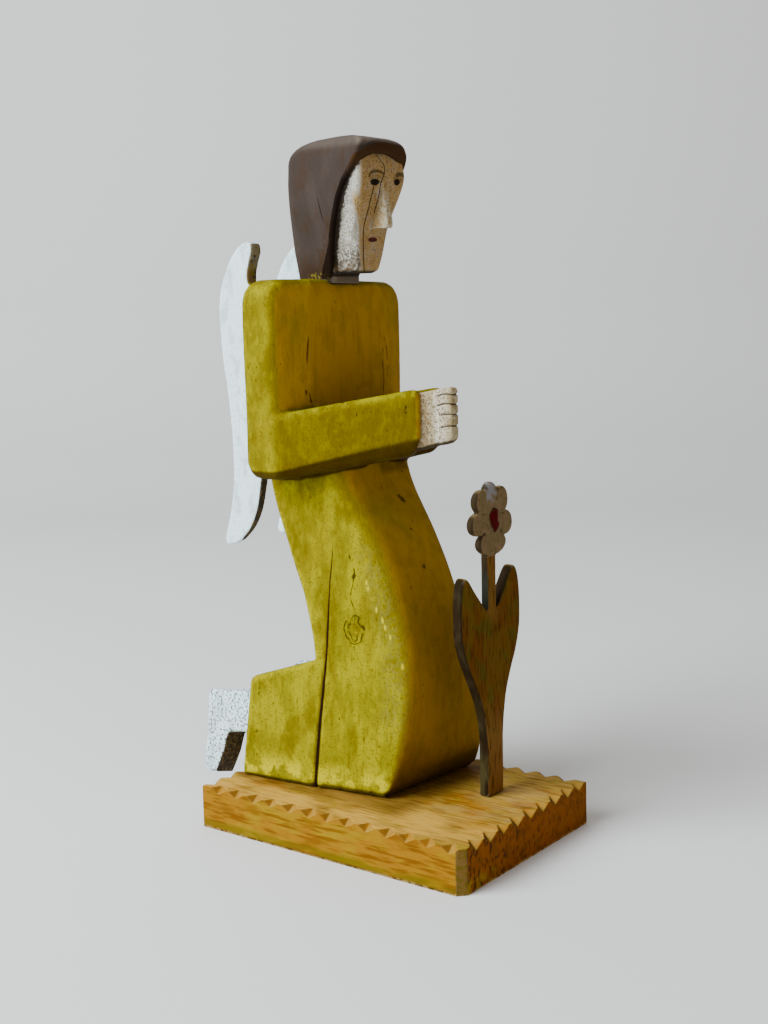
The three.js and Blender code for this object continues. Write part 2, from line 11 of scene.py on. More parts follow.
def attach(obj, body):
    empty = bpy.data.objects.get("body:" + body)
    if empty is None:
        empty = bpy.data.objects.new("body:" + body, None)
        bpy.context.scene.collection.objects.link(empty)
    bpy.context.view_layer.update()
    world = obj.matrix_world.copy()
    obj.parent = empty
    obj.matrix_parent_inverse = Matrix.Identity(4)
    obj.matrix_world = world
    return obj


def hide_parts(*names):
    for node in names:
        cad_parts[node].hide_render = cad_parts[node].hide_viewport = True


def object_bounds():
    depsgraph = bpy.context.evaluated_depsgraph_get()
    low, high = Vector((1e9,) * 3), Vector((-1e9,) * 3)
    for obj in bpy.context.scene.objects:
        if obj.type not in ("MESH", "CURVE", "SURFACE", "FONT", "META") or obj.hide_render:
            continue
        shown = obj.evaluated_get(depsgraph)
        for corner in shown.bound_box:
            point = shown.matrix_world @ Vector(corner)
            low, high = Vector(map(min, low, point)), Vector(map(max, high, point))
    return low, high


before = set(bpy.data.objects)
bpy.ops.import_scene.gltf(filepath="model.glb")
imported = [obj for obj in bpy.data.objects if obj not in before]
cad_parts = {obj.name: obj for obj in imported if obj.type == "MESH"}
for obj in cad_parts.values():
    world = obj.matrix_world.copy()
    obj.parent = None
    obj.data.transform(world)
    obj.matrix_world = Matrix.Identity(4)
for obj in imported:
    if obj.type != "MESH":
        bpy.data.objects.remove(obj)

Array = np.ndarray
Table = Sequence[Sequence[float]]
Socket = bpy.types.NodeSocket

CAD_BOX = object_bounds()
MM = 0.001  # metres in a millimetre
CENTRE_X = 12.0  # the figure's middle plane, in millimetres as all sizes below
FLOOR = 24.0  # the plinth's top
HEEL_BACK = 80.0  # back of the folded legs where they meet the plinth
HEEL_LEAN = 0.133  # how far that back leans forwards for each millimetre of height
JOINT_GAP = 0.3  # room where a foot is set on
WEAR = 0.4  # share of the way to its neighbours' mean that each round of wear moves a point
CHALK_GLOSS = 0.04  # rubbed paint and bare wood hardly mirror

log = logging.getLogger("carving")


class Flank(Enum):
    """The figure's own right and left, as the sign of X seen from its middle plane."""

    RIGHT = -1
    LEFT = 1


class Coat(Enum):
    """The record's material slots."""

    PLINTH = "plinth"
    ROBE = "robe"
    WING = "wing"
    FOOT = "foot"
    FLOWER = "flower"


# Numbers and curves


def curve(knots: Table, at: Array) -> Array:
    """Smooth value through knots (at, value).

    Each stretch is a cubic (Hermite) whose end slopes are the slopes between the neighbouring knots.

    Args:
        knots: Rows of position and value, positions rising.
        at: Positions, any shape; those outside take the end values.

    Returns:
        The values, shaped as at.
    """
    x, y = np.asarray(knots, float).T
    order = np.arange(len(x))
    before, after = np.maximum(order - 1, 0), np.minimum(order + 1, len(x) - 1)
    slope = (y[after] - y[before]) / (x[after] - x[before])
    at = np.clip(at, x[0], x[-1])
    i = np.clip(np.searchsorted(x, at, side="right") - 1, 0, len(x) - 2)
    span = x[i + 1] - x[i]
    t = (at - x[i]) / span
    start = (1 + 2 * t) * (1 - t) ** 2 * y[i] + t * (1 - t) ** 2 * span * slope[i]
    return start + t * t * (3 - 2 * t) * y[i + 1] - t * t * (1 - t) * span * slope[i + 1]


def columns(table: Table, count: int) -> Array:
    """A table of rows drawn out to more rows, each column a smooth curve over the row number.

    Args:
        table: Rows of numbers.
        count: How many rows to return.

    Returns:
        Array of count rows.
    """
    rows = np.asarray(table, float)
    at = np.linspace(0, len(rows) - 1, count)
    order = np.arange(len(rows))
    return np.stack([curve(np.stack([order, column], 1), at) for column in rows.T], 1)


def traced(table: Table, at: Array) -> list[Array]:
    """Smooth curves through a table's further columns over its first, one for each column."""
    return [curve([(row[0], row[i]) for row in table], at) for i in range(1, len(table[0]))]


def ease(value: Array, low: float, high: float) -> Array:
    """0 below low, 1 above high, and 3t^2 - 2t^3 between them."""
    t = np.clip((value - low) / (high - low), 0, 1)
    return t * t * (3 - 2 * t)


def waves(points: Array, size: float, seed: int) -> Array:
    """Smooth unevenness: seeded random numbers on a lattice of cells, eased between lattice points.

    Args:
        points: (N, 3) places in millimetres.
        size: Cell width in millimetres.
        seed: Seed of the random lattice.

    Returns:
        (N,) values from -1 to 1.
    """
    cells = 32
    lattice = np.random.default_rng(seed).uniform(-1, 1, (cells, cells, cells))
    place = points / size + 7.3
    low = np.floor(place).astype(int)
    t = place - low
    t = t * t * (3 - 2 * t)
    total = np.zeros(len(points))
    for corner in np.ndindex(2, 2, 2):
        at = (low + corner) % cells
        share = np.where(np.array(corner) == 1, t, 1 - t).prod(1)
        total += share * lattice[at[:, 0], at[:, 1], at[:, 2]]
    return total


# Shells: closed forms in millimetres, before they are joined into one skin


@dataclass
class Shell:
    """A closed form: its points, and its faces as lists of point numbers."""

    points: Array
    faces: list[list[int]]


def rounded(corners: Array, radii: Array | float, inset: Array | float = 0.0, steps: int = 7) -> Array:
    """Outlines with every corner turned by an arc.

    An arc of radius r about the point that lies r inside both edges replaces each corner; a hollow corner
    turns the other way. With an inset, both edges first move inwards by it and r shrinks with them.

    Args:
        corners: (R, K, 2) corners of R outlines, anticlockwise.
        radii: Radius of each corner, (K,) or (R, K) or one number.
        inset: How far each outline moves inwards, (R,) or one number.
        steps: Points of each arc.

    Returns:
        (R, K * steps, 2) points.
    """
    inset = np.broadcast_to(np.asarray(inset, float).reshape(-1, 1), corners.shape[:2])
    radius = np.maximum(np.broadcast_to(radii, corners.shape[:2]) - inset, 0.3)
    ahead = np.roll(corners, -1, axis=1) - corners
    ahead /= np.linalg.norm(ahead, axis=2, keepdims=True)
    leave = np.stack([ahead[..., 1], -ahead[..., 0]], -1)
    arrive = np.roll(leave, 1, axis=1)
    side = np.where(arrive[..., 0] * leave[..., 1] - arrive[..., 1] * leave[..., 0] < 0, -1.0, 1.0)
    share = (side * radius + inset) / (1 + (arrive * leave).sum(-1))
    middle = corners - share[..., None] * (arrive + leave)
    start = np.arctan2(arrive[..., 1], arrive[..., 0])
    turn = np.arctan2(leave[..., 1], leave[..., 0]) - start
    turn = (turn + np.pi) % (2 * np.pi) - np.pi
    angle = start[..., None] + turn[..., None] * np.linspace(0, 1, steps)
    arc = np.stack([np.cos(angle), np.sin(angle)], -1) * (side * radius)[..., None, None]
    points = middle[..., None, :] + arc
    return points.reshape(len(corners), -1, 2)


def loft(rings: Array) -> Shell:
    """A closed form through rings of equal length, with a flat face on the first and the last.

    Args:
        rings: (R, N, 3) rings, anticlockwise seen from the last ring's side.

    Returns:
        The shell.
    """
    count, size = rings.shape[:2]
    grid = np.arange(count * size).reshape(count, size)
    right = np.roll(grid, -1, axis=1)
    walls = np.stack([grid[:-1], right[:-1], right[1:], grid[1:]], -1).reshape(-1, 4)
    return Shell(rings.reshape(-1, 3), [*walls.tolist(), grid[0, ::-1].tolist(), grid[-1].tolist()])


def upright(plans: Array, heights: Array) -> Array:
    """Rings standing on plans, placed from the figure's middle plane.

    Args:
        plans: (R, N, 2) outlines seen from above.
        heights: (R,) or (R, N) heights.

    Returns:
        (R, N, 3) rings.
    """
    z = np.broadcast_to(heights if heights.ndim == 2 else heights[:, None], plans.shape[:2])
    return np.concatenate([plans + (CENTRE_X, 0), z[..., None]], -1)


def board(outline: Array, thickness: float, bevel: float, steps: int = 4) -> Array:
    """Rings of a flat board with rounded arrises.

    The outline is moved inwards along its normals by bevel * (1 - sin a) while the ring lies
    bevel * (1 - cos a) from the face, a running over a quarter turn.

    Args:
        outline: (N, 2) outline, anticlockwise.
        thickness: Board thickness.
        bevel: Radius of the arrises.
        steps: Rings of each arris.

    Returns:
        (R, N, 3) rings: the outline's own two coordinates, then the depth from one face to the other.
    """
    along = np.roll(outline, -1, axis=0) - np.roll(outline, 1, axis=0)
    along /= np.linalg.norm(along, axis=1, keepdims=True)
    inwards = np.stack([-along[:, 1], along[:, 0]], 1)
    angle = np.linspace(0, np.pi / 2, steps)
    inset, rise = bevel * (1 - np.sin(angle)), bevel * (1 - np.cos(angle))
    insets = np.concatenate([inset, inset[::-1]])
    depths = np.concatenate([rise, thickness - rise[::-1]])
    rings = outline + insets[:, None, None] * inwards
    return np.concatenate([rings, np.broadcast_to(depths[:, None, None], (*rings.shape[:2], 1))], -1)


def table_rows(*values: Array | float, count: int) -> list[Array]:
    """Each value as an array of count numbers."""
    return [np.broadcast_to(np.asarray(value, float), (count,)) for value in values]


def box_plans(half: Array, front: Array | float, back: Array | float) -> Array:
    """Plans of rectangles.

    Args:
        half: (R,) half widths.
        front: Where each front stands, (R,) or one number.
        back: Where each back stands, (R,) or one number.

    Returns:
        (R, 4, 2) corners, anticlockwise.
    """
    half, front, back = table_rows(half, front, back, count=np.size(half))
    x = np.stack([-half, half, half, -half], 1)
    return np.stack([x, np.stack([front, front, back, back], 1)], -1)


# The carver's work on a skin


class Carving:
    """A closed skin of small faces, worked on as whole arrays in millimetres."""

    def __init__(self, shells: Sequence[Shell], grain: float | None) -> None:
        """Joins overlapping shells into one skin.

        Args:
            shells: Closed forms that overlap where they join.
            grain: Width of the skin's faces in millimetres, or None to keep the shell's own faces.
        """
        starts = np.cumsum([0, *[len(shell.points) for shell in shells]])
        faces = [[start + i for i in face] for start, shell in zip(starts, shells) for face in shell.faces]
        mesh = bpy.data.meshes.new("blank")
        mesh.from_pydata(np.concatenate([shell.points for shell in shells]), [], faces)
        if grain is not None:
            mesh = self._skinned(mesh, grain)
        self.mesh = mesh
        self.grain = grain or 1.0
        self.points = self._read(mesh.vertices, "co", 3)
        self.links = self._read(mesh.edges, "vertices", 2, np.int32)
        self.fields: dict[str, Array] = {}

    @staticmethod
    def _skinned(mesh: bpy.types.Mesh, grain: float) -> bpy.types.Mesh:
        """Remeshes on a cubic grid, which joins what overlaps.

        Args:
            mesh: The forms.
            grain: The grid's cell in millimetres.

        Returns:
            The skin.
        """
        blank = bpy.data.objects.new("blank", mesh)
        bpy.context.scene.collection.objects.link(blank)
        skin = blank.modifiers.new("skin", "REMESH")
        skin.mode = "VOXEL"
        skin.voxel_size = grain
        skinned = bpy.data.meshes.new_from_object(blank.evaluated_get(bpy.context.evaluated_depsgraph_get()))
        bpy.data.objects.remove(blank)
        return skinned

    @staticmethod
    def _read(items: bpy.types.bpy_prop_collection, name: str, width: int, kind: type = np.float32) -> Array:
        """One property of all items.

        Args:
            items: Vertices, edges or normals.
            name: The property.
            width: Numbers of one item.
            kind: Number type that Blender stores.

        Returns:
            (N, width) array.
        """
        flat = np.empty(len(items) * width, kind)
        items.foreach_get(name, flat)
        return flat.reshape(-1, width).astype(float if kind is np.float32 else kind)

    def around(self, values: Array) -> Array:
        """The mean of each point's linked neighbours.

        Args:
            values: (N,) or (N, W) values.

        Returns:
            The means, shaped as values.
        """
        a, b = self.links.T
        size = len(values)
        count = np.bincount(a, minlength=size) + np.bincount(b, minlength=size)
        flat = values.reshape(size, -1).T
        sums = [np.bincount(a, v[b], size) + np.bincount(b, v[a], size) for v in flat]
        return (np.stack(sums, 1) / count[:, None]).reshape(values.shape)

    def normals(self) -> Array:
        """Outward unit normals of the present shape.

        Returns:
            (N, 3) normals.
        """
        self.mesh.vertices.foreach_set("co", self.points.astype(np.float32).ravel())
        self.mesh.update()
        return self._read(self.mesh.vertex_normals, "vector", 3)

    def push(self, distance: Array) -> None:
        """Moves each point outwards along its normal, or inwards where the distance is negative."""
        self.points += self.normals() * distance[:, None]

    def note_form(self, rounds: int) -> None:
        """Keeps two fields for the paints.

        They are facing, the softened normal, and edge, how far each point stands out from its neighbours in
        shares of a face, positive on arrises and negative in hollows.

        Args:
            rounds: How often both are softened.
        """
        normals = self.normals()
        edge = ((self.points - self.around(self.points)) * normals).sum(1) / self.grain
        for _ in range(rounds):
            edge, normals = self.around(edge), self.around(normals)
        self.fields["edge"] = edge
        self.fields["facing"] = normals / np.linalg.norm(normals, axis=1, keepdims=True)

    def knife(self, depth: float, seed: int, rounds: int = 2) -> None:
        """Wears the arrises and leaves the unevenness of a knife and a scraper.

        Every round moves each point towards the mean of its neighbours, and then slow swells and small flats
        push the skin in and out.

        Args:
            depth: Height of the swells in millimetres.
            seed: Seed of the first of three waves.
            rounds: How often the arrises are worn.
        """
        for _ in range(rounds):
            self.points += WEAR * (self.around(self.points) - self.points)
        swell = waves(self.points, 34, seed) + 0.45 * waves(self.points * (1, 1, 0.6), 11, seed + 1)
        self.push(depth * (swell + 0.16 * waves(self.points, 4, seed + 2)))

    def finish(
        self, name: str, material: bpy.types.Material, coat: Coat, nodes: Sequence[str], rounds: int = 3
    ) -> None:
        """Makes the piece: a smooth-shaded mesh in metres, inside the CAD's box, its fields as attributes.

        Args:
            name: Name of the piece.
            material: Its finish.
            coat: The record's slot of that finish; not used.
            nodes: CAD nodes that the piece stands for.
            rounds: How often the noted form is softened.
        """
        self.note_form(rounds)
        low, high = np.array([list(corner) for corner in CAD_BOX])
        self.mesh.vertices.foreach_set("co", np.clip(self.points * MM, low, high).astype(np.float32).ravel())
        for key, values in self.fields.items():
            kind = "FLOAT" if values.ndim == 1 else "FLOAT_VECTOR"
            target = "value" if values.ndim == 1 else "vector"
            attribute = self.mesh.attributes.new(key, kind, "POINT")
            attribute.data.foreach_set(target, values.astype(np.float32).ravel())
        self.mesh.polygons.foreach_set("use_smooth", np.ones(len(self.mesh.polygons), bool))
        self.mesh.materials.clear()
        self.mesh.materials.append(material)
        self.mesh.name = name
        self.mesh.update()
        piece = bpy.data.objects.new(name, self.mesh)
        bpy.context.scene.collection.objects.link(piece)
        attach(piece, "root")
        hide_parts(*nodes)
        log.info("%s: %d points", name, len(self.points))


def off_line(
    knots: Table,
    along: Array,
    across: Array,
    half_width: Table,
    stretch: float = 8.0,
    shown: Array | bool = True,
) -> Array:
    """Signed distance from a drawn line, in half widths of the line, so that it is within -1 and 1 on it.

    Args:
        knots: The line as (along, across) knots.
        along: Coordinate of each point along the line.
        across: Coordinate of each point across it.
        half_width: (along, half width) knots.
        stretch: Millimetres past an end over which the value grows to 20.
        shown: Where the line is drawn at all.

    Returns:
        (N,) signed distances.
    """
    start, end = knots[0][0], knots[-1][0]
    beyond = np.maximum(start - along, 0) + np.maximum(along - end, 0) + np.where(shown, 0, 2 * stretch)
    width = np.maximum(curve(half_width, along), 0.02)
    off = (across - curve(knots, along)) / width
    return off + np.where(off < 0, -20.0, 20.0) * beyond / stretch


# Paints


Ramp = tuple[Socket, float, float]


def linear(colour: int) -> tuple[float, float, float, float]:
    """Turns an sRGB colour to linear.

    Args:
        colour: Its hex value.

    Returns:
        Linear red, green, blue and a full alpha.
    """
    parts = np.array([colour >> 16 & 255, colour >> 8 & 255, colour & 255]) / 255
    parts = np.where(parts <= 0.04045, parts / 12.92, ((parts + 0.055) / 1.055) ** 2.4)
    return (*parts.tolist(), 1.0)


def on_line(value: Socket, outer: float, inner: float) -> tuple[Ramp, Ramp]:
    """Two ramps that leave 1 where a signed distance is within inner, and 0 where it is past outer."""
    return (value, -outer, -inner), (value, outer, inner)


class Paint:
    """A material built up on the wood coat by coat.

    A ramp (socket, low, high) is a mask that eases from 0 where the socket's value is low to 1 where it is
    high; low may be the larger of the two. Several ramps together are multiplied.
    """

    def __init__(self, name: str, ground: int) -> None:
        """Starts an empty material.

        Args:
            name: The real material it stands for.
            ground: sRGB hex of the first coat.
        """
        self.material = bpy.data.materials.new(name)
        self.material.use_nodes = True
        self.tree = self.material.node_tree
        self.tree.nodes.clear()
        self.colour: Socket | tuple = linear(ground)
        self.bumps: list[tuple[Socket, float]] = []

    def add(
        self, kind: str, settings: dict | None = None, inputs: dict | None = None, out: int | str = 0
    ) -> Socket:
        """Adds one shader node.

        Args:
            kind: Node type without its ShaderNode prefix.
            settings: The node's own properties.
            inputs: Input name or number to a socket to link or a value to set.
            out: Output to return.

        Returns:
            The output socket, or None where the node has none.
        """
        node = self.tree.nodes.new("ShaderNode" + kind)
        for name, value in (settings or {}).items():
            setattr(node, name, value)
        for name, value in (inputs or {}).items():
            if isinstance(value, bpy.types.NodeSocket):
                self.tree.links.new(value, node.inputs[name])
            else:
                node.inputs[name].default_value = value
        return node.outputs[out] if len(node.outputs) else None

    def field(self, name: str, part: int | None = None) -> Socket:
        """A field that the carving kept on its points.

        Args:
            name: The field.
            part: Which part of a field of three, or None for a field of one.

        Returns:
            Its socket.
        """
        if part is None:
            return self.add("Attribute", {"attribute_name": name}, out="Fac")
        whole = self.add("Attribute", {"attribute_name": name}, out="Vector")
        return self.add("SeparateXYZ", inputs={0: whole}, out=part)

    def place(self, part: int) -> Socket:
        """The X, Y or Z of each place of the piece, in metres."""
        return self.add("SeparateXYZ", inputs={0: self.add("TexCoord", out="Object")}, out=part)

    def noise(
        self, size: float, stretch: Sequence[float] = (1, 1, 1), shift: float = 0.0, detail: float = 3.0
    ) -> Socket:
        """Fractal noise of a real size about 0.5.

        Args:
            size: Size of its swells in millimetres.
            stretch: Scale along each axis; below 1 draws the pattern out.
            shift: Moves the pattern, in metres.
            detail: Octaves.

        Returns:
            The noise socket.
        """
        place = self.add("TexCoord", out="Object")
        mapped = {"Vector": place, "Scale": stretch, "Location": (shift, shift, shift)}
        place = self.add("Mapping", inputs=mapped)
        return self.add("TexNoise", inputs={"Vector": place, "Scale": 1 / (size * MM), "Detail": detail})

    def mask(self, strength: float, *ramps: Ramp) -> Socket | float:
        """The product of ramps and a strength.

        Args:
            strength: Value where all ramps are 1.
            ramps: What it is multiplied by.

        Returns:
            The product's socket, or the strength where there is no ramp.
        """
        whole: Socket | float = strength
        for value, low, high in ramps:
            limits = {"Value": value, "From Min": low, "From Max": high}
            eased = self.add("MapRange", {"interpolation_type": "SMOOTHSTEP"}, limits, "Result")
            whole = self.add("Math", {"operation": "MULTIPLY"}, {0: eased, 1: whole})
        return whole

    def ragged(self, value: Socket, share: float, noise: Socket) -> Socket:
        """The value plus a share of noise, so that what is masked by it gets a brushed, uneven border."""
        return self.add("Math", {"operation": "MULTIPLY_ADD"}, {0: noise, 1: share, 2: value})

    def coat(self, colour: int, strength: float, *ramps: Ramp) -> None:
        """Lays a colour over what is there.

        Args:
            colour: sRGB hex of the coat.
            strength: How much of it covers where all ramps are 1.
            ramps: Where it lies.
        """
        share = self.mask(strength, *ramps)
        self.colour = self.add("Mix", {"data_type": "RGBA"}, {0: share, 6: self.colour, 7: linear(colour)}, 2)

    def relief(self, height: Socket, depth: float) -> None:
        """Adds bumps of a depth in millimetres."""
        self.bumps.append((height, depth))

    def finished(self, roughness: tuple[float, float], dull: Socket) -> bpy.types.Material:
        """Ends the material in a shader that hardly mirrors, as rubbed paint and bare wood do.

        Args:
            roughness: Roughness where the dull mask is 0 and where it is 1.
            dull: Mask for the roughness.

        Returns:
            The material.
        """
        limits = {"Value": dull, "To Min": roughness[0], "To Max": roughness[1]}
        rough = self.add("MapRange", inputs=limits, out="Result")
        inputs = {"Base Color": self.colour, "Roughness": rough, "Specular IOR Level": CHALK_GLOSS}
        for height, depth in self.bumps:
            bump = {"Height": height, "Distance": depth * MM, "Strength": 1.0}
            if "Normal" in inputs:
                bump["Normal"] = inputs["Normal"]
            inputs["Normal"] = self.add("Bump", inputs=bump)
        self.add("OutputMaterial", inputs={"Surface": self.add("BsdfPrincipled", inputs=inputs)})
        return self.material


# The plinth


@dataclass
class Plinth:
    """The block underneath, a planed board whose top rim is notched all round.

    Start and end are the rim left plain at a side's corners, gap the rim between two notches. Inset and
    drop are how far a notch runs in over the top and down the flank, low_lean where along it its low point
    lies. A side is its number of notches and where along a notch its inner tip lies.
    """

    width: float = 120.6
    length: float = 172.6
    thickness: float = FLOOR
    corner_cut: float = 4.0
    start: float = 6.0
    end: float = 1.2
    gap: float = 1.0
    inset: float = 6.8
    drop: float = 3.4
    low_lean: float = 0.48
    notch_foot: float = 17.0
    chip_foot: float = 21.5
    long_side: tuple[int, float] = (13, 0.38)
    short_side: tuple[int, float] = (9, 0.7)
    seed: int = 40
    worn: float = 0.22
    arris: float = 0.7
    mesh_step: float = 0.62

    def _path(self, inset: Array) -> Array:
        """Outlines of the block, evenly stepped, with the broken corner.

        Args:
            inset: (R,) how far each lies inside the block's flanks.

        Returns:
            (R, N, 2) outlines.
        """
        x, y, cut = self.width / 2, self.length / 2, self.corner_cut
        corners = np.array([[-x + cut, -y], [x, -y], [x, y], [-x, y], [-x, -y + cut]])
        ends = np.roll(corners, -1, axis=0)
        counts = np.maximum((np.linalg.norm(ends - corners, axis=1) / self.mesh_step).astype(int), 2)
        share = np.concatenate([np.arange(count) / count for count in counts])[:, None]
        edge = np.repeat(corners, counts, axis=0) * (1 - share) + np.repeat(ends, counts, axis=0) * share
        return edge * (1 - inset[:, None, None] / (x, y))

    def _profile(self) -> tuple[Array, Array]:
        """The rings' places, from the underside up the flank and in over the rim.

        Returns:
            Insets and heights.
        """
        quarter = np.linspace(0, np.pi / 2, 4)
        top = self.thickness - self.arris
        low = [(4.0, 0.0), (1.2, 0.0), (0.3, 0.25), (0.0, 0.9)]
        flank = [(0.0, z) for z in (3, 6, 9, 12, 15, *np.arange(17.5, top - 0.2, 0.55))]
        turned = zip(self.arris * (1 - np.cos(quarter)), top + self.arris * np.sin(quarter))
        rim = [(d, self.thickness) for d in np.arange(1.2, 9.6, 0.55)]
        rings = np.array([*low, *flank, *turned, *rim, (12.0, self.thickness)])
        return rings[:, 0], rings[:, 1]

    def _notches(self, x: Array, y: Array) -> Array:
        """Depth of the rim's notches below a place.

        Each notch is a three-sided pyramid cut: two planes run from its ends on the edge and its inner tip
        down to its low point on the flank, and the depth is the lesser of the two planes' depths.

        Args:
            x: Places across.
            y: Places along.

        Returns:
            Depths in millimetres, 0 between the notches.
        """
        long = (self.width / 2, self.length, *self.long_side)
        short = (self.length / 2, self.width, *self.short_side)
        sides = [
            ((0, -1), (-1, 0), long),
            ((1, 0), (0, -1), short),
            ((0, 1), (1, 0), long),
            ((-1, 0), (0, 1), short),
        ]
        depth = np.zeros(x.shape)
        for seed, (along, across, (edge, length, count, lean)) in enumerate(sides):
            rng = np.random.default_rng(self.seed + seed)
            size, slant = rng.uniform(0.86, 1.0, count), lean + rng.uniform(-0.07, 0.07, count)
            run = x * along[0] + y * along[1] + length / 2 - self.start
            into = np.maximum(edge - (x * across[0] + y * across[1]), 0)
            pitch = (length - self.start - self.end) / count
            i = np.clip((run / pitch).astype(int), 0, count - 1)
            span = (pitch - self.gap) * size[i]
            t = run - i * pitch - self.gap / 2
            inner = into / (self.inset * size[i]) * span
            first = (t - inner * slant[i]) / (self.low_lean * span)
            second = (span - t - inner * (1 - slant[i])) / ((1 - self.low_lean) * span)
            depth = np.maximum(depth, self.drop * size[i] * np.minimum(first, second))
        return depth

    def build(self, material: bpy.types.Material) -> None:
        """The block as one skin: its outline carried along the profile, lowered by the notches.

        Args:
            material: Its finish.
        """
        insets, heights = self._profile()
        plans = self._path(insets)
        depth = self._notches(plans[..., 0], plans[..., 1])
        share = np.clip((heights - self.notch_foot) / (self.thickness - self.notch_foot), 0, 1)[:, None]
        z = heights[:, None] - depth * share
        rings = np.concatenate([plans, z[..., None]], -1)
        block = Carving([loft(rings)], None)
        chipped = np.where(heights > self.chip_foot, 1.0, 0.0)[:, None]
        block.fields["notch"] = np.minimum(depth * chipped, 2.0).ravel()
        flank = block.points[:, 2] > 0.5
        block.push(np.where(flank, -self.worn * (1 + waves(block.points * (1, 0.4, 1), 16, 5)), 0))
        block.points[:, 2] = np.where(flank, block.points[:, 2], 0)
        to_corner = (block.points[:, 0] + block.points[:, 1] + (self.width + self.length) / 2) / np.sqrt(2)
        block.fields["corner"] = to_corner - self.corner_cut / np.sqrt(2)
        block.finish("plinth", material, Coat.PLINTH, ["base"], rounds=1)


# The figure


@dataclass
class Robe:
    """Skirt, folded legs, trunk and folded arms in one skin.

    Pairs are height and value: where the skirt's front stands on the near and the far side, the radius
    between, its back, its half widths, and how far the hem draws in. The trunk's rows are height and how
    far its sides and its front draw in. A forearm's plan is (across, along), and its lower and upper faces
    are a height, where along it they have it, and their slope. Crack, check and marks are lines up the robe
    with their half widths. The knot is its middle (along, height) and its half sizes, a chip its middle, a
    nick its place and radius.
    """

    front_near: Table = (
        (24, -13.6), (43, -19.8), (60, -24), (80, -27.2), (100, -26.4), (131, -19), (158, -7.5),
        (187, 11.5), (206, 16),
    )
    front_far: Table = (
        (24, -21.5), (40, -28), (68, -28.5), (100, -25), (131, -16.5), (158, -5), (187, 10.5), (206, 16),
    )
    front_radius: Table = ((24, 1.8), (43, 4.5), (80, 8), (110, 10), (131, 11), (160, 11), (206, 9))
    back: Table = ((24, 29.5), (95, 30), (128, 37.4), (153, 48), (178, 57.8), (192, 61.6), (206, 61))
    half_front: Table = ((24, 36.5), (43, 34.5), (72, 32.2), (116, 31), (206, 31))
    half_back: Table = ((24, 43), (95, 41), (140, 38.6), (190, 36.6), (206, 36))
    hem: Table = ((24, 3), (25.5, 1.2), (29, 0))
    lap: float = 206.0
    leg_half: float = 47.2
    leg_edge: float = 2.2
    leg_rise: float = 62.6
    leg_top: tuple[float, float, float] = (88.8, 0.33, 0.04)
    trunk_half: float = 55.2
    chest_half: float = 31.0
    arm_front: float = 39.4
    chest_front: float = 33.0
    trunk_back: float = 60.8
    trunk: Table = (
        (192.6, 6.5, 5), (194, 3.6, 3), (197, 1.2, 1.2), (201, 0, 0), (286, 0, 0), (290.5, 1.3, 0.3),
        (294.5, 4.5, 1.1), (297, 10, 3.2),
    )
    forearm: Table = ((-56, 60.8), (-56, 40.4), (-11, -22.4), (9.6, -8.2), (-31, 50))
    forearm_radii: tuple[float, ...] = (4, 8, 3, 2, 1)
    forearm_low: tuple[float, float, float] = (195.6, 17.5, 0.26)
    forearm_high: tuple[float, float, float] = (227.2, 41.2, 0.195)
    skirt_crack: Table = (
        (24, 30.4), (55.6, 27.1), (83.4, 23.7), (98.6, 22.1), (112, 21.6), (133.4, 21), (153.5, 19.7),
    )
    crack_half: Table = ((24, 1.0), (60, 0.85), (100, 0.5), (153, 0.2))
    crack_depth: Table = ((24, 1.3), (60, 1.2), (100, 0.8), (153, 0.2))
    knot: tuple[float, ...] = (5.5, 113.1, 5.4, 6.9)
    check: Table = (
        (101, 5.1), (106.8, 5.4), (113, 5.4), (120.1, 5.2), (123.4, 5.3), (126.6, 6.8), (131.1, 8.4),
        (136, 7.2), (141.8, 6.4), (147.1, 6.5), (152.2, 9.4), (156.1, 9.7),
    )
    check_half: Table = (
        (101, 0.1), (106, 0.25), (109, 0.02), (117, 0.02), (120, 0.3), (123, 0.15), (127, 0.3), (131, 0.25),
        (137, 0.2), (139.6, 0.3), (141.8, 1.2), (144, 0.3), (147.1, 0.8), (149.5, 0.12), (152.2, 0.45),
        (154, 0.15), (156.1, 0.6),
    )
    near_marks: Table = ((232.6, -20.0), (237.5, -21.2), (245, -21.8), (253.8, -22), (267.3, -20.6))
    near_half: Table = (
        (232.6, 0.8), (234, 0.35), (237.5, 0.2), (239, 0.02), (252, 0.02), (254, 0.3), (262, 0.45),
        (267, 0.2),
    )
    far_marks: tuple[Table, ...] = (
        ((234.6, 42.9), (241.8, 43.9), (249.7, 42.9), (257.5, 43.2), (264.2, 44)),
        ((239.4, 47.6), (249.5, 47.9), (257.3, 47.9), (264.1, 45.3)),
    )
    chips: Table = (
        (-1.2, 139.1), (-2.3, 135.9), (-7.4, 125.1), (-11.1, 120.2), (-12.6, 116.4), (-15.6, 111.4),
        (-22.4, 96.3),
    )
    nicks: Table = (
        (-35.2, 59.2, 75, 1.1), (-35.2, 60.9, 75.1, 1.0), (20.2, 6.6, 179.4, 1.1), (21.6, 5.6, 177.8, 1.3),
        (22.6, 4.9, 176.6, 0.9), (14.5, -13.7, 143.3, 1.2),
    )
    grain: float = 1.15

    def _skirt(self) -> Shell:
        """The robe from the hem to the lap.

        Returns:
            The shell.
        """
        z = np.array([24, 24.8, 25.5, 27, 29, *np.arange(33, self.lap, 4), self.lap])
        front, back = curve(self.half_front, z), curve(self.half_back, z)
        x = np.stack([-front, front, back, -back], 1)
        rear = curve(self.back, z)
        y = np.stack([curve(self.front_near, z), curve(self.front_far, z), rear, rear], 1)
        front = curve(self.front_radius, z)
        radii = np.stack([front, front, 0 * z + 2.5, 0 * z + 2.5], 1)
        plans = rounded(np.stack([x, y], -1), radii, curve(self.hem, z))
        return loft(upright(plans, z))

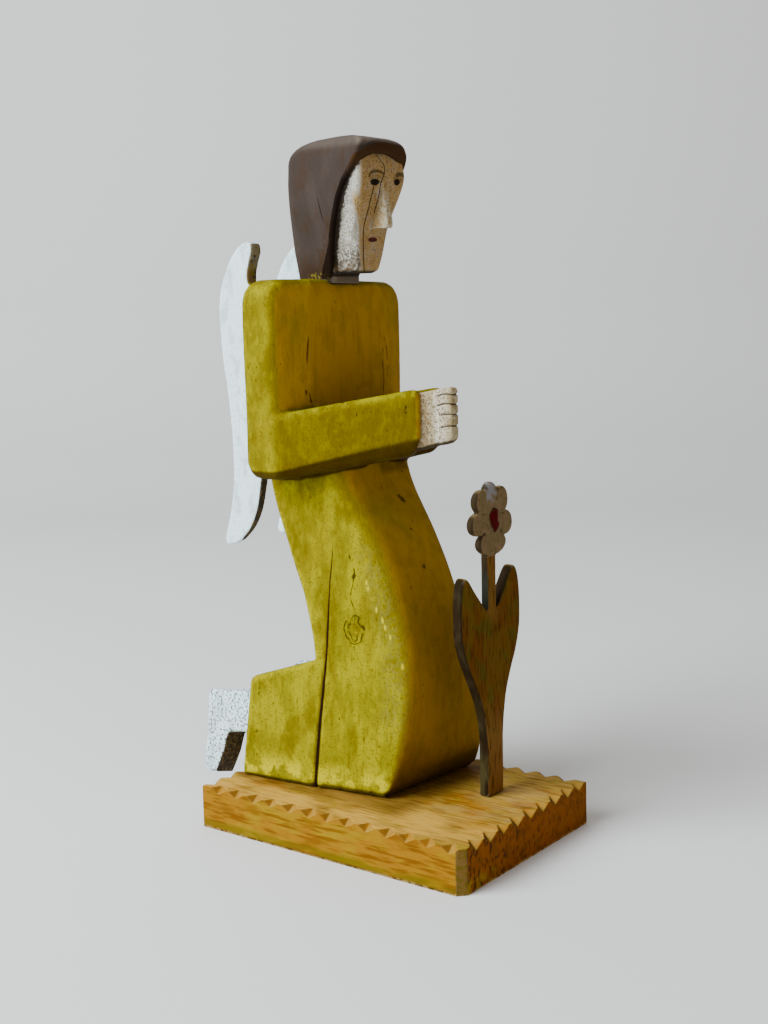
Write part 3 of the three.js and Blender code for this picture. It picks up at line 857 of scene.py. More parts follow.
    def _legs(self) -> Shell:
        """The block of folded legs behind the skirt, its top sloping back.

        Returns:
            The shell.
        """
        share = np.array([0, 0.03, 0.2, 0.4, 0.6, 0.8, 1, 1, 1])
        inset = self.leg_edge * np.array([0.7, 0, 0, 0, 0, 0, 0, 0.3, 1])
        under = self.leg_edge * np.array([0, 0, 0, 0, 0, 0, 1, 0.3, 0])
        level = FLOOR + share * self.leg_rise
        front, back = curve(self.half_front, level), curve(self.half_back, level)
        rear = curve(self.back, level)
        slope = (back - front) / (rear - curve(self.front_near, level))
        meet_y, meet = rear - 2.5, back - 2.5 * slope - 0.05
        heel = HEEL_BACK - (level - FLOOR) * HEEL_LEAN
        half = 0 * meet + self.leg_half
        x = np.stack([-meet + 7, meet - 7, meet, half, -half, -meet], 1)
        y = np.stack([meet_y - 14, meet_y - 14, meet_y, heel, heel, meet_y], 1)
        plans = rounded(np.stack([x, y], -1), np.array([2, 2, 1, 2, 2, 1.0]), inset)
        high, back_fall, side_fall = self.leg_top
        top = high - (plans[..., 1] - 48) * back_fall - (plans[..., 0] + 43) * side_fall
        return loft(upright(plans, FLOOR + (top - FLOOR) * share[:, None] - under[:, None]))

    def _trunk(self) -> Shell:
        """Chest, upper arms and shoulders: a broad block whose arms stand behind the chest's front.

        Returns:
            The shell.
        """
        z, side, deep = np.array(self.trunk, float).T
        half, chest = self.trunk_half - side, self.chest_half - 0.4 * side
        x = np.stack([-half, -chest, chest, half + 2, half + 2, -half], 1)
        front, back = self.chest_front + deep, self.trunk_back - deep
        y = np.stack([self.arm_front + deep, front, front, 38 + deep, back, back], 1)
        outer = np.maximum(8 - deep, 2)
        radii = np.stack([outer, 0 * z + 4, 0 * z + 4, outer, 0 * z + 3, 0 * z + 3], 1)
        plans = rounded(np.stack([x, y], -1), radii)
        fall = np.where(z > 285, 0.018, 0)[:, None] * (plans[..., 0] + half[:, None])
        return loft(upright(plans, z[:, None] - fall))

    def _forearm(self, flank: Flank) -> Shell:
        """One folded forearm, from the shoulder block to the praying hands, undercut along its lower edge.

        Args:
            flank: Which arm.

        Returns:
            The shell.
        """
        corners, radii = np.array(self.forearm, float), np.array(self.forearm_radii, float)
        if flank is Flank.LEFT:
            corners, radii = (corners * (-1, 1))[::-1], radii[::-1]
        inset = np.array([5.5, 2.8, 0, 0, 0.9, 3.2])
        plans = rounded(np.broadcast_to(corners, (len(inset), *corners.shape)), radii, inset)
        (low, low_at, low_slope), (high, high_at, high_slope) = self.forearm_low, self.forearm_high
        low = np.maximum(self.trunk[0][0], low + (low_at - plans[..., 1]) * low_slope)
        high = high + (high_at - plans[..., 1]) * high_slope
        from_low, below = np.array([0, 1.8, 8.2, 0, 0, 0]), np.array([0, 0, 0, 4, 1.2, 0])
        rises = (np.arange(len(inset)) > 2)[:, None]
        undercut = 1 - 0.45 * np.clip((plans[..., 1] - 15) / 25, 0, 1)
        low = low + from_low[:, None] * undercut
        return loft(upright(plans, np.where(rises, high - below[:, None], low)))

    def build(self, material: bpy.types.Material) -> None:
        """Joins the blocks, then wears the arrises, hollows the hem and opens the drying crack.

        Args:
            material: Its finish.
        """
        forearms = [self._forearm(Flank.RIGHT), self._forearm(Flank.LEFT)]
        robe = Carving([self._skirt(), self._legs(), self._trunk(), *forearms], self.grain)
        robe.knife(0.32, 11)
        x, y, z = robe.points.T
        # The front of the hem is undercut where it meets the plinth.
        front = robe.normals()[:, 1] < -0.5
        robe.points[:, 1] += 2.6 * ease(z, 27.4, 25.2) * front * (y < 0)
        # The drying crack, the knot and the check above it lie on the right flank.
        near = (x < CENTRE_X - 20) & (z < 170) & (y < 60)
        crack = off_line(self.skirt_crack, z, y, self.crack_half, shown=near)
        robe.points[:, 0] += np.where(near, curve(self.crack_depth, z) * ease(np.abs(crack), 2.2, 0.4), 0)
        knot = np.hypot((y - self.knot[0]) / self.knot[2], (z - self.knot[1]) / self.knot[3])
        robe.fields["crack"] = crack
        robe.fields["knot"] = np.where(near, knot + 0.3 * waves(robe.points, 3.2, 13), 30)
        robe.fields["check"] = off_line(self.check, z, y, self.check_half, 2.0, near)
        robe.fields["hem"] = ease(z, 48, 27)
        # The chest has three rows of dark marks, the near arris small chips of bright paint.
        chest = (z > 228) & (y < 42)
        half = ((234, 0.3), (265, 0.5))
        marks = [off_line(line, z, x, half, 8.0, chest) for line in self.far_marks]
        marks.append(off_line(self.near_marks, z, x, self.near_half, 8.0, chest))
        robe.fields["marks"] = np.stack(marks, 1)
        chips = np.min([np.hypot((y - a) / 0.8, (z - b) / 1.9) for a, b in self.chips], 0)
        robe.fields["chips"] = np.where(near, chips, 30)
        nicks = [np.linalg.norm(robe.points - nick[:3], axis=1) / nick[3] for nick in np.array(self.nicks)]
        robe.fields["nicks"] = np.min(nicks, 0)
        # Dust greys a band along the near arris.
        from_arris = np.abs(y - curve(self.front_near, z) - 6)
        haze = ease(from_arris, 17, 3) * ease(z, 46, 75) * ease(z, 176, 140)
        robe.fields["haze"] = haze * (x < CENTRE_X - 15)
        robe.finish("robe", material, Coat.ROBE, ["figure"])


@dataclass
class Head:
    """Hair, face and neck, each a skin of its own so that its paint can be finer.

    The hood's rows are height, front, back and half width, the hollow's are height and half width of the
    opening for the face, and those of face and nose are height, front and half width. Eyes, lids and mouth
    are ovals: middle across, middle height, half width, half height. Brows are lines (across, height). The
    arch is the hair's border over the forehead: height, middle, half width and fall at its ends.
    """

    shift: float = -0.4
    lean: float = 2.6
    hood: Table = (
        (297, 33.5, 58.6, 12.6), (303, 31.2, 58.6, 14.2), (310, 29.6, 58.4, 16.2), (324, 25, 57.4, 19.6),
        (337, 19.5, 56.6, 22.2), (347, 13.8, 55.8, 23.4), (353, 9.2, 55.2, 23.2), (358, 5.6, 54.4, 22.4),
        (362.5, 3.8, 52, 20.8), (366.2, 4.6, 47.6, 18), (368.9, 9.5, 40, 13.8), (370.4, 18, 32, 8),
    )
    hollow: Table = (
        (290, 10), (303, 11), (310, 12.8), (324, 16), (337, 18.6), (346, 19.8), (353, 18.6), (356, 16),
        (358.6, 11.5), (360, 7), (361, 3),
    )
    face: Table = (
        (299.6, 19, 7.5), (301, 16.8, 9.2), (304, 16, 10.2), (310, 15.3, 12.1), (317, 14.4, 13.3),
        (324, 13.3, 14.8), (331, 11.3, 16.5), (338, 8.8, 18.2), (347, 6, 19.8), (353, 6, 20),
        (361, 7.6, 18.4),
    )
    nose: Table = ((322.4, 2.6, 2.6), (324, 2, 2.8), (338, 3.8, 2.5), (347, 5, 3), (352, 6.6, 4.5))
    long_crack: Table = (
        (299, -8.9), (308.8, -9.07), (316.5, -9.04), (323.3, -8.51), (326.7, -7.64), (332.1, -5.93),
        (336.7, -4.77), (340.9, -3.46), (343.8, -2.87),
    )
    short_crack: Table = (
        (330.3, -2.84), (332.8, -2.25), (337, -0.84), (341.2, 0.13), (344.5, 0.63), (347, 1.56),
        (351.4, 3.07), (354.8, 2.63), (357.3, 0.77), (360, -1.6),
    )
    hair_crack: Table = ((326, 31.0), (333.3, 32.1), (339, 32.8))
    eyes: Table = ((4.6, 345.6, 3.3, 1.5), (23.3, 346.6, 2.4, 1.6))
    lids: Table = ((4.8, 347.4, 5.2, 2.3), (24.2, 348.0, 4.2, 2.1))
    mouth: tuple[float, ...] = (11.9, 316.8, 3.6, 1.15)
    near_brow: Table = ((-1.2, 348.3), (0.9, 350.3), (5.2, 351.3), (9.5, 351.0), (11.9, 350.2))
    far_brow: Table = ((21.8, 349.8), (25.5, 350.8), (29.2, 350.2), (31.2, 348.8))
    near_lid: Table = ((0.2, 345.6), (2.9, 346.9), (6, 346.9), (9.1, 345.7))
    neck_half: float = 12.6
    arch: tuple[float, ...] = (366.2, 11.6, 20, 5)
    hair_grain: float = 0.75
    face_grain: float = 0.42

    def _rings(self, z: Array, plans: Array, lean: float) -> Shell:
        """Plans on levels, shifted to the head's own middle and leant over at the crown.

        Args:
            z: (R,) levels.
            plans: (R, N, 2) outlines.
            lean: How far the crown leans to the figure's right.

        Returns:
            The shell.
        """
        shift = self.shift - lean * ease(z, 350, 366)
        rings = upright(plans, z)
        rings[..., 0] += shift[:, None]
        return loft(rings)

    def _hair(self) -> list[Shell]:
        """The hair as a horseshoe round the face, and its crown.

        Returns:
            Two shells.
        """
        z = np.array([
            294, 297, 300, 303, 310, 317, 324, 331, 337, 342, 347, 350, 353, 355, 357, 358.6, 360, 361,
        ])
        front, back, half = traced(self.hood, z)
        open_half = np.minimum(curve(self.hollow, z), half - 1.6)
        x = np.stack([-half, -open_half, -open_half, open_half, open_half, half, half, -half], 1)
        y = np.stack([front, front, 0 * z + 34, 0 * z + 34, front, front, back, back], 1)
        radii = np.array([1.6, 1, 1, 1, 1, 1.6, 7, 7])
        side = self._rings(z, rounded(np.stack([x, y], -1), radii), self.lean)
        z = np.array([360.4, 361.4, 362.5, 364.5, 366.2, 367.6, 368.9, 369.8, 370.4])
        front, back, half = traced(self.hood, z)
        radii = np.stack([0 * z + 2.2, 0 * z + 2.2, np.minimum(7, half - 1), np.minimum(7, half - 1)], 1)
        return [side, self._rings(z, rounded(box_plans(half, front, back), radii), self.lean)]

    def _face(self) -> list[Shell]:
        """Face, nose and neck.

        Returns:
            Three shells.
        """
        z = np.arange(299.6, 363.5, 1.5)
        front, half = traced(self.face, z)
        face = self._rings(z, rounded(box_plans(half, front, 36), np.array([3.2, 3.2, 1, 1])), 0)
        z = np.arange(self.nose[0][0], 352, 1.5)
        front, half = traced(self.nose, z)
        nose = self._rings(z, rounded(box_plans(half, front, 18), np.array([1.2, 1.2, 0.5, 0.5])), 0)
        z = np.array([294.5, 304.0])
        neck = self._rings(z, rounded(box_plans(np.full(2, self.neck_half), 31.8, 50), 4.0), 0)
        return [face, nose, neck]

    def build(self, hair_paint: bpy.types.Material, face_paint: bpy.types.Material) -> None:
        """Carves hair and face and marks where the features are painted.

        Args:
            hair_paint: Finish of the hair.
            face_paint: Finish of the face.
        """
        hair = Carving(self._hair(), self.hair_grain)
        hair.knife(0.25, 21)
        # The rim field is how far a place lies from the hair's border round the face, in steps of about 2 mm.
        x, y, z = hair.points.T
        behind = (y - traced(self.hood, z)[0] - 1.8 - 4 * ease(z, 316, 300)) / 2
        top, middle, half, fall = self.arch
        above = z - top + ((x - middle) / half) ** 2 * fall
        hair.fields["rim"] = np.maximum(behind, above / 1.5 + 0.2)
        hair_half = ((326, 0.12), (332, 0.3), (339, 0.12))
        hair.fields["crack"] = off_line(self.hair_crack, z, y, hair_half, 3.0, x < CENTRE_X)
        hair.finish("hair", hair_paint, Coat.ROBE, ["figure"])
        face = Carving(self._face(), self.face_grain)
        face.knife(0.16, 31, rounds=3)
        self._draw(face)
        face.finish("face", face_paint, Coat.ROBE, ["figure"])

    def _draw(self, face: Carving) -> None:
        """Marks eyes, brows and mouth by distances over the front, and the cracks as upright planes.

        A crack is a split along the grain: it is drawn where 0.61 x - 0.79 y equals its knots' value at z.

        Args:
            face: The face to mark.
        """
        x, y, z = face.points.T
        plane = 0.61 * x - 0.79 * y
        ahead = y < 22
        cracks = [
            off_line(line, z, plane, ((300, 0.24), (361, 0.24)), 1.5, ahead)
            for line in (self.long_crack, self.short_crack)
        ]
        ovals = [
            np.min([np.hypot((x - a) / c, (z - b) / d) for a, b, c, d in group], 0)
            for group in (self.eyes, [self.mouth], self.lids)
        ]
        brows = [
            off_line(line, x, z, ((line[0][0], half), (line[-1][0], half * 0.7)), 1.2, ahead)
            for line, half in ((self.near_brow, 0.95), (self.far_brow, 1.2), (self.near_lid, 0.35))
        ]
        face.fields["rear"] = y - traced(self.hood, z)[0]
        face.fields["cracks"] = np.stack([*cracks, 0 * x], 1)
        face.fields["drawn"] = np.stack([oval + np.where(ahead, 0, 30) for oval in ovals], 1)
        face.fields["brows"] = np.stack(brows, 1)
        ridge = ease(np.abs(x - CENTRE_X - self.shift), 5.5, 4.2)
        face.fields["nose"] = ridge * ease(z, 347, 334) * (z > self.nose[0][0] - 1) * (y < 18)


@dataclass
class Hands:
    """The praying hands: one block whose fingers are four grooves on each side.

    The plan is (across, along). Grooves are heights, starts where along the hand each groove begins, and
    high and low are a height of the upper and the lower face, where along the hand they have it, and their
    slope.
    """

    plan: Table = ((-9.5, -10), (-8.8, -20), (-3, -36.8), (3, -36.8), (8.8, -20), (9.5, -10))
    grooves: tuple[float, ...] = (235.4, 230.4, 225.0, 218.7)
    starts: tuple[float, ...] = (-28.6, -28.4, -30.2, -30.2)
    high: tuple[float, float, float] = (236.9, -20, 0.2)
    low: tuple[float, float, float] = (209.5, -30, 0.25)
    groove_half: float = 1.0
    groove_depth: float = 0.8
    knuckles: float = -29.5
    grain: float = 0.45

    def build(self, material: bpy.types.Material) -> None:
        """Lofts the block, then cuts the grooves from the knuckles to the finger tips.

        Args:
            material: Their finish.
        """
        inset = np.array([2.4, 0.6, 0, 0, 0.7, 2.2])
        plans = rounded(np.broadcast_to(np.array(self.plan, float), (len(inset), 6, 2)), 1.5, inset)
        low, high = (z + (at - plans[..., 1]) * slope for z, at, slope in (self.low, self.high))
        from_low, below = np.array([0, 1.4, 3.4, 0, 0, 0]), np.array([0, 0, 0, 3, 0.9, 0])
        rises = (np.arange(len(inset)) > 2)[:, None]
        shell = loft(upright(plans, np.where(rises, high - below[:, None], low + from_low[:, None])))
        hands = Carving([shell], self.grain)
        hands.knife(0.14, 51)
        y, z = hands.points.T[1:]
        bow = 0.8 * np.sin(np.clip((self.knuckles - y) / 10.5, 0, 1) * np.pi)
        bow += 0.35 * waves(hands.points, 3.5, 53)
        cut = sum(
            ease(np.abs(z - level - bow), self.groove_half, 0.1) * ease(y, start, start - 1.2)
            for level, start in zip(self.grooves, self.starts)
        )
        hollow = ease(y, self.knuckles - 0.6, self.knuckles + 0.6) * ease(z, 229, 225)
        hands.push(-self.groove_depth * cut - 0.45 * hollow)
        hands.fields["groove"] = cut
        hands.finish("hands", material, Coat.ROBE, ["figure"])


# Wings and feet


@dataclass
class Wing:
    """A wing sawn from thin board and pegged to the back.

    Its outline is (along, height): a smooth outer curve from the upper tip to the lower one and back to the
    body, and an inner edge of straight cuts.
    """

    outer: Table = (
        (77.2, 317), (82.4, 318.2), (88.6, 314.8), (94.6, 308), (100.3, 297), (103.2, 284), (103, 270),
        (101.3, 251), (99.1, 235), (97.8, 215), (98.2, 190), (101, 172), (105.2, 159), (107.2, 152),
        (104.8, 149.2), (98, 150.6), (91.6, 155), (85.2, 162), (80.2, 172), (77, 185), (74.4, 197),
    )
    inner: Table = (
        (61.1, 210), (61.1, 280), (73.4, 289), (80.6, 296.5), (80.6, 301), (79, 307), (76.8, 312.4),
    )
    offset: float = 22.5
    thickness: float = 8.4
    thin_share: float = 0.55
    thin_below: float = 150.0
    thin_over: float = 90.0
    bevel: float = 1.3
    grain: float = 0.85

    def build(self, flank: Flank, material: bpy.types.Material) -> None:
        """Cuts one wing and thins it towards its lower tip.

        Args:
            flank: Which wing.
            material: Its finish.
        """
        outline = np.concatenate([columns(self.outer, 90), np.array(self.inner, float)])[::-1]
        rings = board(outline, self.thickness, self.bevel)
        high = np.clip((rings[..., 1] - self.thin_below) / self.thin_over, 0, 1)
        share = self.thin_share + (1 - self.thin_share) * high
        x = (rings[..., 2] - self.thickness / 2) * share + CENTRE_X + flank.value * self.offset
        wing = Carving([loft(np.stack([x, rings[..., 0], rings[..., 1]], -1))], self.grain)
        wing.knife(0.2, 61 + flank.value)
        name = f"wing_{flank.name.lower()}"
        wing.finish(f"{name}_board", material, Coat.WING, [name])


@dataclass
class Foot:
    """A foot with its toes down, pegged to the back of the legs.

    Its outline is (along, height), its ankle the heights at which it meets the legs, and fall how much
    lower its inner side is carved for each millimetre across.
    """

    outline: Table = (
        (94, 68.9), (108.2, 67.8), (110.8, 64), (112.6, 44), (114.9, 30), (116, 19.8), (114.8, 18.2),
        (107.2, 18.4), (103.6, 24.6), (99.6, 32.8), (97.6, 39), (96, 43.4), (93.6, 45.1),
    )
    ankle: tuple[float, float] = (70.4, 46.6)
    offset: float = 32.7
    width: float = 14.6
    fall: float = 0.27
    bevel: float = 1.3
    grain: float = 0.65

    def build(self, flank: Flank, material: bpy.types.Material) -> None:
        """Cuts one foot.

        Args:
            flank: Which foot.
            material: Its finish.
        """
        top, bottom = self.ankle
        meet = [(HEEL_BACK + JOINT_GAP - (z - FLOOR) * HEEL_LEAN, z) for z in (top, bottom)]
        outline = np.array([meet[0], *self.outline, meet[1]], float)[::-1]
        rings = board(outline, self.width, self.bevel, 6)
        x = rings[..., 2] - self.width / 2
        behind = np.clip((rings[..., 0] - 84) / 10, 0, 1)
        z = rings[..., 1] - self.fall * (self.width / 2 - flank.value * x) * behind
        x += CENTRE_X + flank.value * self.offset
        foot = Carving([loft(np.stack([x, rings[..., 0], z], -1))], self.grain)
        foot.knife(0.2, 71 + flank.value)
        name = f"foot_{flank.name.lower()}"
        foot.finish(f"{name}_block", material, Coat.FOOT, [name])


# The flower


@dataclass
class Flower:
    """A stem with two leaves and a blossom, fretted from board and glued to the plinth.

    Outlines are (along the board, height) from the place of its foot, and blossom, petals and button are
    ovals: middle along, middle height, half width, half height.
    """

    place: tuple[float, float] = (14.1, -56.9)
    turn: float = np.radians(-5)
    thickness: float = 6.4
    petal_thickness: float = 4.5
    stem_right: Table = (
        (7.8, 24), (8.2, 40), (8.4, 58), (10.8, 75), (14.6, 87), (20.2, 100), (23.6, 113), (23.8, 128),
        (22.6, 138), (20.9, 143.2), (18.6, 145.2), (15.9, 143.6), (11.8, 138), (8, 132), (4.8, 126.4),
        (3.2, 123.4),
    )
    stem_left: Table = (
        (-4, 123.6), (-9, 130), (-14.4, 136.6), (-18.4, 142), (-21.4, 143.8), (-23.8, 141.6), (-25.4, 135),
        (-26, 125), (-25.4, 112), (-21.4, 99), (-15, 86), (-9, 72), (-6, 57), (-5.6, 40), (-5.5, 24),
    )
    stem_top: Table = ((-4, 121), (3.4, 121), (3.4, 158), (-3.9, 158))
    blossom: tuple[float, ...] = (1.6, 171.6, 7.6, 11)
    petals: Table = (
        (0.6, 185.4, 4.9, 5.8), (9.6, 181.2, 4.9, 7), (12.8, 168.9, 5.4, 6.4), (1.6, 159.2, 11.2, 6.6),
        (-9.6, 169.9, 6.6, 6), (-6.6, 181.4, 6, 6.2),
    )
    button: tuple[float, ...] = (2.3, 171.2, 3.8, 6.0)
    grain: float = 0.55

    @staticmethod
    def _oval(middle_s: float, middle_z: float, half: float, tall: float) -> Array:
        """The oval middle + (half cos a, tall sin a).

        Args:
            middle_s: Its middle along the board.
            middle_z: Its middle's height.
            half: Half its width.
            tall: Half its height.

        Returns:
            (48, 2) points.
        """
        angle = np.linspace(0, 2 * np.pi, 48, endpoint=False)
        return np.stack([middle_s + half * np.cos(angle), middle_z + tall * np.sin(angle)], 1)

    def _standing(self, outline: Array, thickness: float, front: float = 0.0, bevel: float = 0.6) -> Shell:
        """A board standing on the plinth, turned with the flower.

        Args:
            outline: (N, 2) distance along the board and height, anticlockwise.
            thickness: The board's thickness.
            front: How far its front lies behind the leaves' front.
            bevel: Radius of its arrises.

        Returns:
            The shell.
        """
        rings = board(outline, thickness, bevel)
        s, z, y = rings[..., 0], rings[..., 1], rings[..., 2] + front
        cos, sin = np.cos(self.turn), np.sin(self.turn)
        x = self.place[0] + s * cos - y * sin
        return loft(np.stack([x, self.place[1] + s * sin + y * cos, z], -1))

    def _board_place(self, points: Array) -> tuple[Array, Array]:
        """Where each point lies on the board.

        Args:
            points: (N, 3) places.

        Returns:
            Distances along the board, and heights.
        """
        x, y = points[:, 0] - self.place[0], points[:, 1] - self.place[1]
        return x * np.cos(self.turn) + y * np.sin(self.turn), points[:, 2]

    def build(self, material: bpy.types.Material) -> None:
        """Joins stem, leaves, petals and button, and marks the button and the blossom for their paints.

        Args:
            material: Its finish.
        """
        leaf = [columns(self.stem_right, 90), columns(self.stem_left, 90)]
        shells = [
            self._standing(np.concatenate(leaf), self.thickness, 0.0, 1.3),
            self._standing(np.array(self.stem_top, float), 4.6),
            self._standing(self._oval(*self.blossom), self.petal_thickness, 0.0, 1.0),
            *(self._standing(self._oval(*petal), self.petal_thickness, 0.0, 1.3) for petal in self.petals),
            self._standing(self._oval(*self.button), 3.1, -1.0, 0.8),
        ]
        flower = Carving(shells, self.grain)
        flower.knife(0.14, 81)
        s, z = self._board_place(flower.points)
        a, b, c, d = self.button
        taper = np.clip(0.98 + 0.06 * (z - b), 0.5, 1.08)
        flower.fields["button"] = np.hypot((s - a) / (c * taper), (z - b) / d)
        flower.fields["board"] = np.stack([s, z, 0 * s], 1)
        flower.finish("flower_fretwork", material, Coat.FLOWER, ["flower"])


# Finishes


@dataclass(frozen=True)
class RobePaint:
    """Olive-yellow paint, stippled and brushed thinly over the wood, browner where it is thin, and browner on
    its front faces partly as painted shade.
    """

    base: int = 0x7C7600
    bright: int = 0x968E00
    light: int = 0xA49C00
    thin: int = 0x5C4C00
    brown: int = 0xA07800
    umber: int = 0x805C00
    shade: int = 0x382400
    grey: int = 0x7C7634
    dark: int = 0x1C1200
    rust: int = 0x3E1604
    turned: int = 0x6E5A00
    hem: int = 0xD8CC00
    gap: int = 0x1C0A04
    chip: int = 0xC0B41C
    collar: int = 0x4E4416

    def material(self) -> bpy.types.Material:
        """Matt mottled paint, worn arrises, pinholes, the drying crack, the checks and the knot.

        Returns:
            The material.
        """
        paint = Paint("olive_paint_on_wood", self.base)
        coat, noise, field = paint.coat, paint.noise, paint.field
        edge, up, front = field("edge"), field("facing", 2), field("facing", 1)
        x, y, height = (paint.place(part) for part in range(3))
        # Mottled paint, thinner and browner above and on the sleeve. All that faces front is painted browner
        # and darker towards the bottom, partly thin paint and partly painted shade.
        coat(self.bright, 0.8, (noise(15, (1, 1, 0.5), 2.0, 5.0), 0.44, 0.57))
        coat(self.thin, 0.55, (noise(18, (1, 1, 0.6), 3.0, 6.0), 0.49, 0.62))
        coat(self.thin, 0.5, (height, 0.09, 0.17), (noise(9, (1, 1, 0.4), 3.5, 5.0), 0.3, 0.6))
        coat(self.thin, 0.45, (noise(2.4, (1, 1, 0.25), 1.0, 5.0), 0.5, 0.7))
        sleeve = [(y, 0.034, 0.008), (height, 0.19, 0.2), (height, 0.236, 0.23)]
        coat(self.thin, 0.45, *sleeve)
        coat(self.bright, 0.7, *sleeve, (front, -0.7, -0.4), (noise(9, shift=17.0, detail=6.0), 0.48, 0.58))
        # Partly painted shade: faces that look front turn browner, darker near the bottom.
        coat(self.turned, 0.6, (front, -0.3, -0.65))
        coat(self.brown, 0.9, (front, -0.7, -0.94), (noise(30, (1, 1, 0.6), 4.0, 4.0), 0.1, 0.5))
        coat(self.umber, 0.6, (front, -0.3, -0.99), (height, 0.15, 0.07))
        coat(self.thin, 0.22, (front, -0.5, -0.97), (noise(7, (1, 1, 0.7), 4.5, 5.0), 0.48, 0.62))
        # Bright new paint at the hem, dust along the arris, fine specks.
        hem = [(field("hem"), 0.1, 1.0), (front, -0.8, -0.4), (noise(8, shift=6.0, detail=5.0), 0.42, 0.56)]
        coat(self.hem, 0.6, *hem)
        dusty = (noise(2.2, shift=7.0, detail=5.0), 0.36, 0.62)
        coat(self.grey, 0.45, (field("haze"), 0.0, 1.0), (front, -0.9, -0.55), dusty)
        coat(self.thin, 0.6, (noise(1.2, shift=1.5), 0.52, 0.68), (front, -0.95, -0.6))
        coat(self.thin, 0.2, (noise(3, (1, 1, 0.12), 16.0, 4.0), 0.5, 0.64), (front, -0.6, -0.95))
        coat(self.light, 0.2, (noise(3.5, (1, 1, 0.7), 5.0, 6.0), 0.5, 0.68), (front, -0.8, -0.5))
        coat(self.light, 0.5, (edge, 0.02, 0.06), (noise(4, shift=8.0), 0.42, 0.6))
        # Painted shade on all that faces down, under the arms, and in the pocket behind the far forearm,
        # which is also bare wood there; darker in hollows; dark pinholes.
        coat(self.shade, 0.85, (up, -0.12, -0.42))
        inside = [(height, 0.19, 0.194), (height, 0.227, 0.222), (y, 0.018, 0.010), (up, 0.5, 0.2)]
        # Painted shade, with the bare wood, in the pocket behind the far forearm.
        coat(self.shade, 0.8, (x, 0.011, 0.015), *inside)
        coat(self.dark, 0.6, (edge, -0.015, -0.08))
        pits = (noise(2.2, (1, 1, 0.5), 9.0, 2.0), 0.69, 0.75)
        coat(self.dark, 0.8, pits, (noise(26, shift=10.0), 0.5, 0.58))
        # Crack, check, chest marks, chips, nicks, a dark band along the chest's top below the neck, and knot.
        coat(self.rust, 0.6, *on_line(field("crack"), 2.6, 0.9))
        coat(self.gap, 0.95, *on_line(field("crack"), 1.2, 0.8))
        broken = (noise(4, shift=15.0), 0.36, 0.5)
        coat(self.dark, 0.85, *on_line(field("check"), 1.5, 0.7), broken)
        for part in range(3):
            broken = (noise(3, (1, 1, 0.4), 14.0), 0.34, 0.5)
            coat(self.rust, 0.85, *on_line(field("marks", part), 1.9, 0.6), broken)
        coat(self.chip, 0.8, (field("chips"), 1.2, 0.6))
        coat(self.dark, 0.8, (field("nicks"), 1.7, 0.8))
        coat(
            self.collar, 0.6, (height, 0.2915, 0.2955), (x, -0.010, -0.002), (x, 0.036, 0.028),
            (noise(4, shift=18.0), 0.3, 0.5)
        )
        knot, broken = field("knot"), (noise(3.5, shift=11.0), 0.36, 0.5)
        coat(self.thin, 0.6, (knot, 1.0, 0.7), (noise(2.5, shift=19.0), 0.42, 0.56))
        for radius, width in ((1.0, 0.13), (0.58, 0.11)):
            coat(self.dark, 0.9, (knot, radius - width, radius), (knot, radius + width, radius), broken)
        grain = noise(1.3, (1, 1, 0.35), 12.0, 4.0)
        paint.relief(grain, 0.22)
        paint.relief(noise(0.8, shift=13.0, detail=2.0), 0.14)
        paint.relief(paint.mask(1.0, pits), -0.3)
        return paint.finished((0.62, 0.82), grain)


@dataclass(frozen=True)
class HairPaint:
    """Grey-brown paint, dusty on the crown, scraped to dark brown round the face."""

    base: int = 0x3A322D
    dusty: int = 0x544B45
    brown: int = 0x3C2814
    dark: int = 0x140B06
    rubbed: int = 0x7A6E60
    dab: int = 0x8E8228

    def material(self) -> bpy.types.Material:
        """Dull paint with brush marks and a fine crack on the right side.

        Returns:
            The material.
        """
        paint = Paint("grey_brown_paint_on_wood", self.base)
        coat, noise, field = paint.coat, paint.noise, paint.field
        up, rim, height = field("facing", 2), field("rim"), paint.place(2)
        coat(self.dusty, 0.25, (noise(10, (1, 1, 0.3), 1.0, 5.0), 0.4, 0.7))
        coat(self.dusty, 0.75, (up, 0.2, 0.95))
        coat(self.brown, 0.35, (noise(6, (1, 1, 0.5), 2.0, 5.0), 0.5, 0.66), (up, 0.6, 0.2))
        coat(self.brown, 0.5, (height, 0.316, 0.298))
        # Rubbed pale over the forehead, browner and speckled towards the neck, dabs of the robe's yellow.
        coat(self.rubbed, 0.6, (height, 0.3625, 0.3665), (field("facing", 1), 0.1, -0.2), (rim, 0.9, 1.6))
        coat(self.brown, 0.3, (noise(1.2, shift=8.0), 0.52, 0.68))
        coat(self.brown, 0.5, (rim, 3.2, 1.4), (height, 0.334, 0.318), (noise(1.4, shift=9.0), 0.44, 0.54))
        dabs = (noise(1.3, shift=10.0, detail=4.0), 0.5, 0.58)
        coat(self.dab, 0.7, (height, 0.3015, 0.2985), (rim, 6.0, 3.5), dabs)
        ragged = paint.ragged(rim, 0.5, noise(2.5, (1, 1, 0.4), 6.0, 4.0))
        border = (ragged, 0.55, 0.45)
        coat(self.brown, 0.95, border, (height, 0.345, 0.357))
        coat(self.dark, 0.9, border, (height, 0.357, 0.345))
        coat(self.dark, 0.75, (field("edge"), -0.03, -0.12))
        coat(self.dark, 0.85, *on_line(field("crack"), 1.4, 0.7))
        grain = noise(1.2, (1, 1, 0.3), 4.0, 4.0)
        paint.relief(grain, 0.15)
        paint.relief(noise(5, shift=5.0), 0.25)
        return paint.finished((0.75, 0.92), grain)


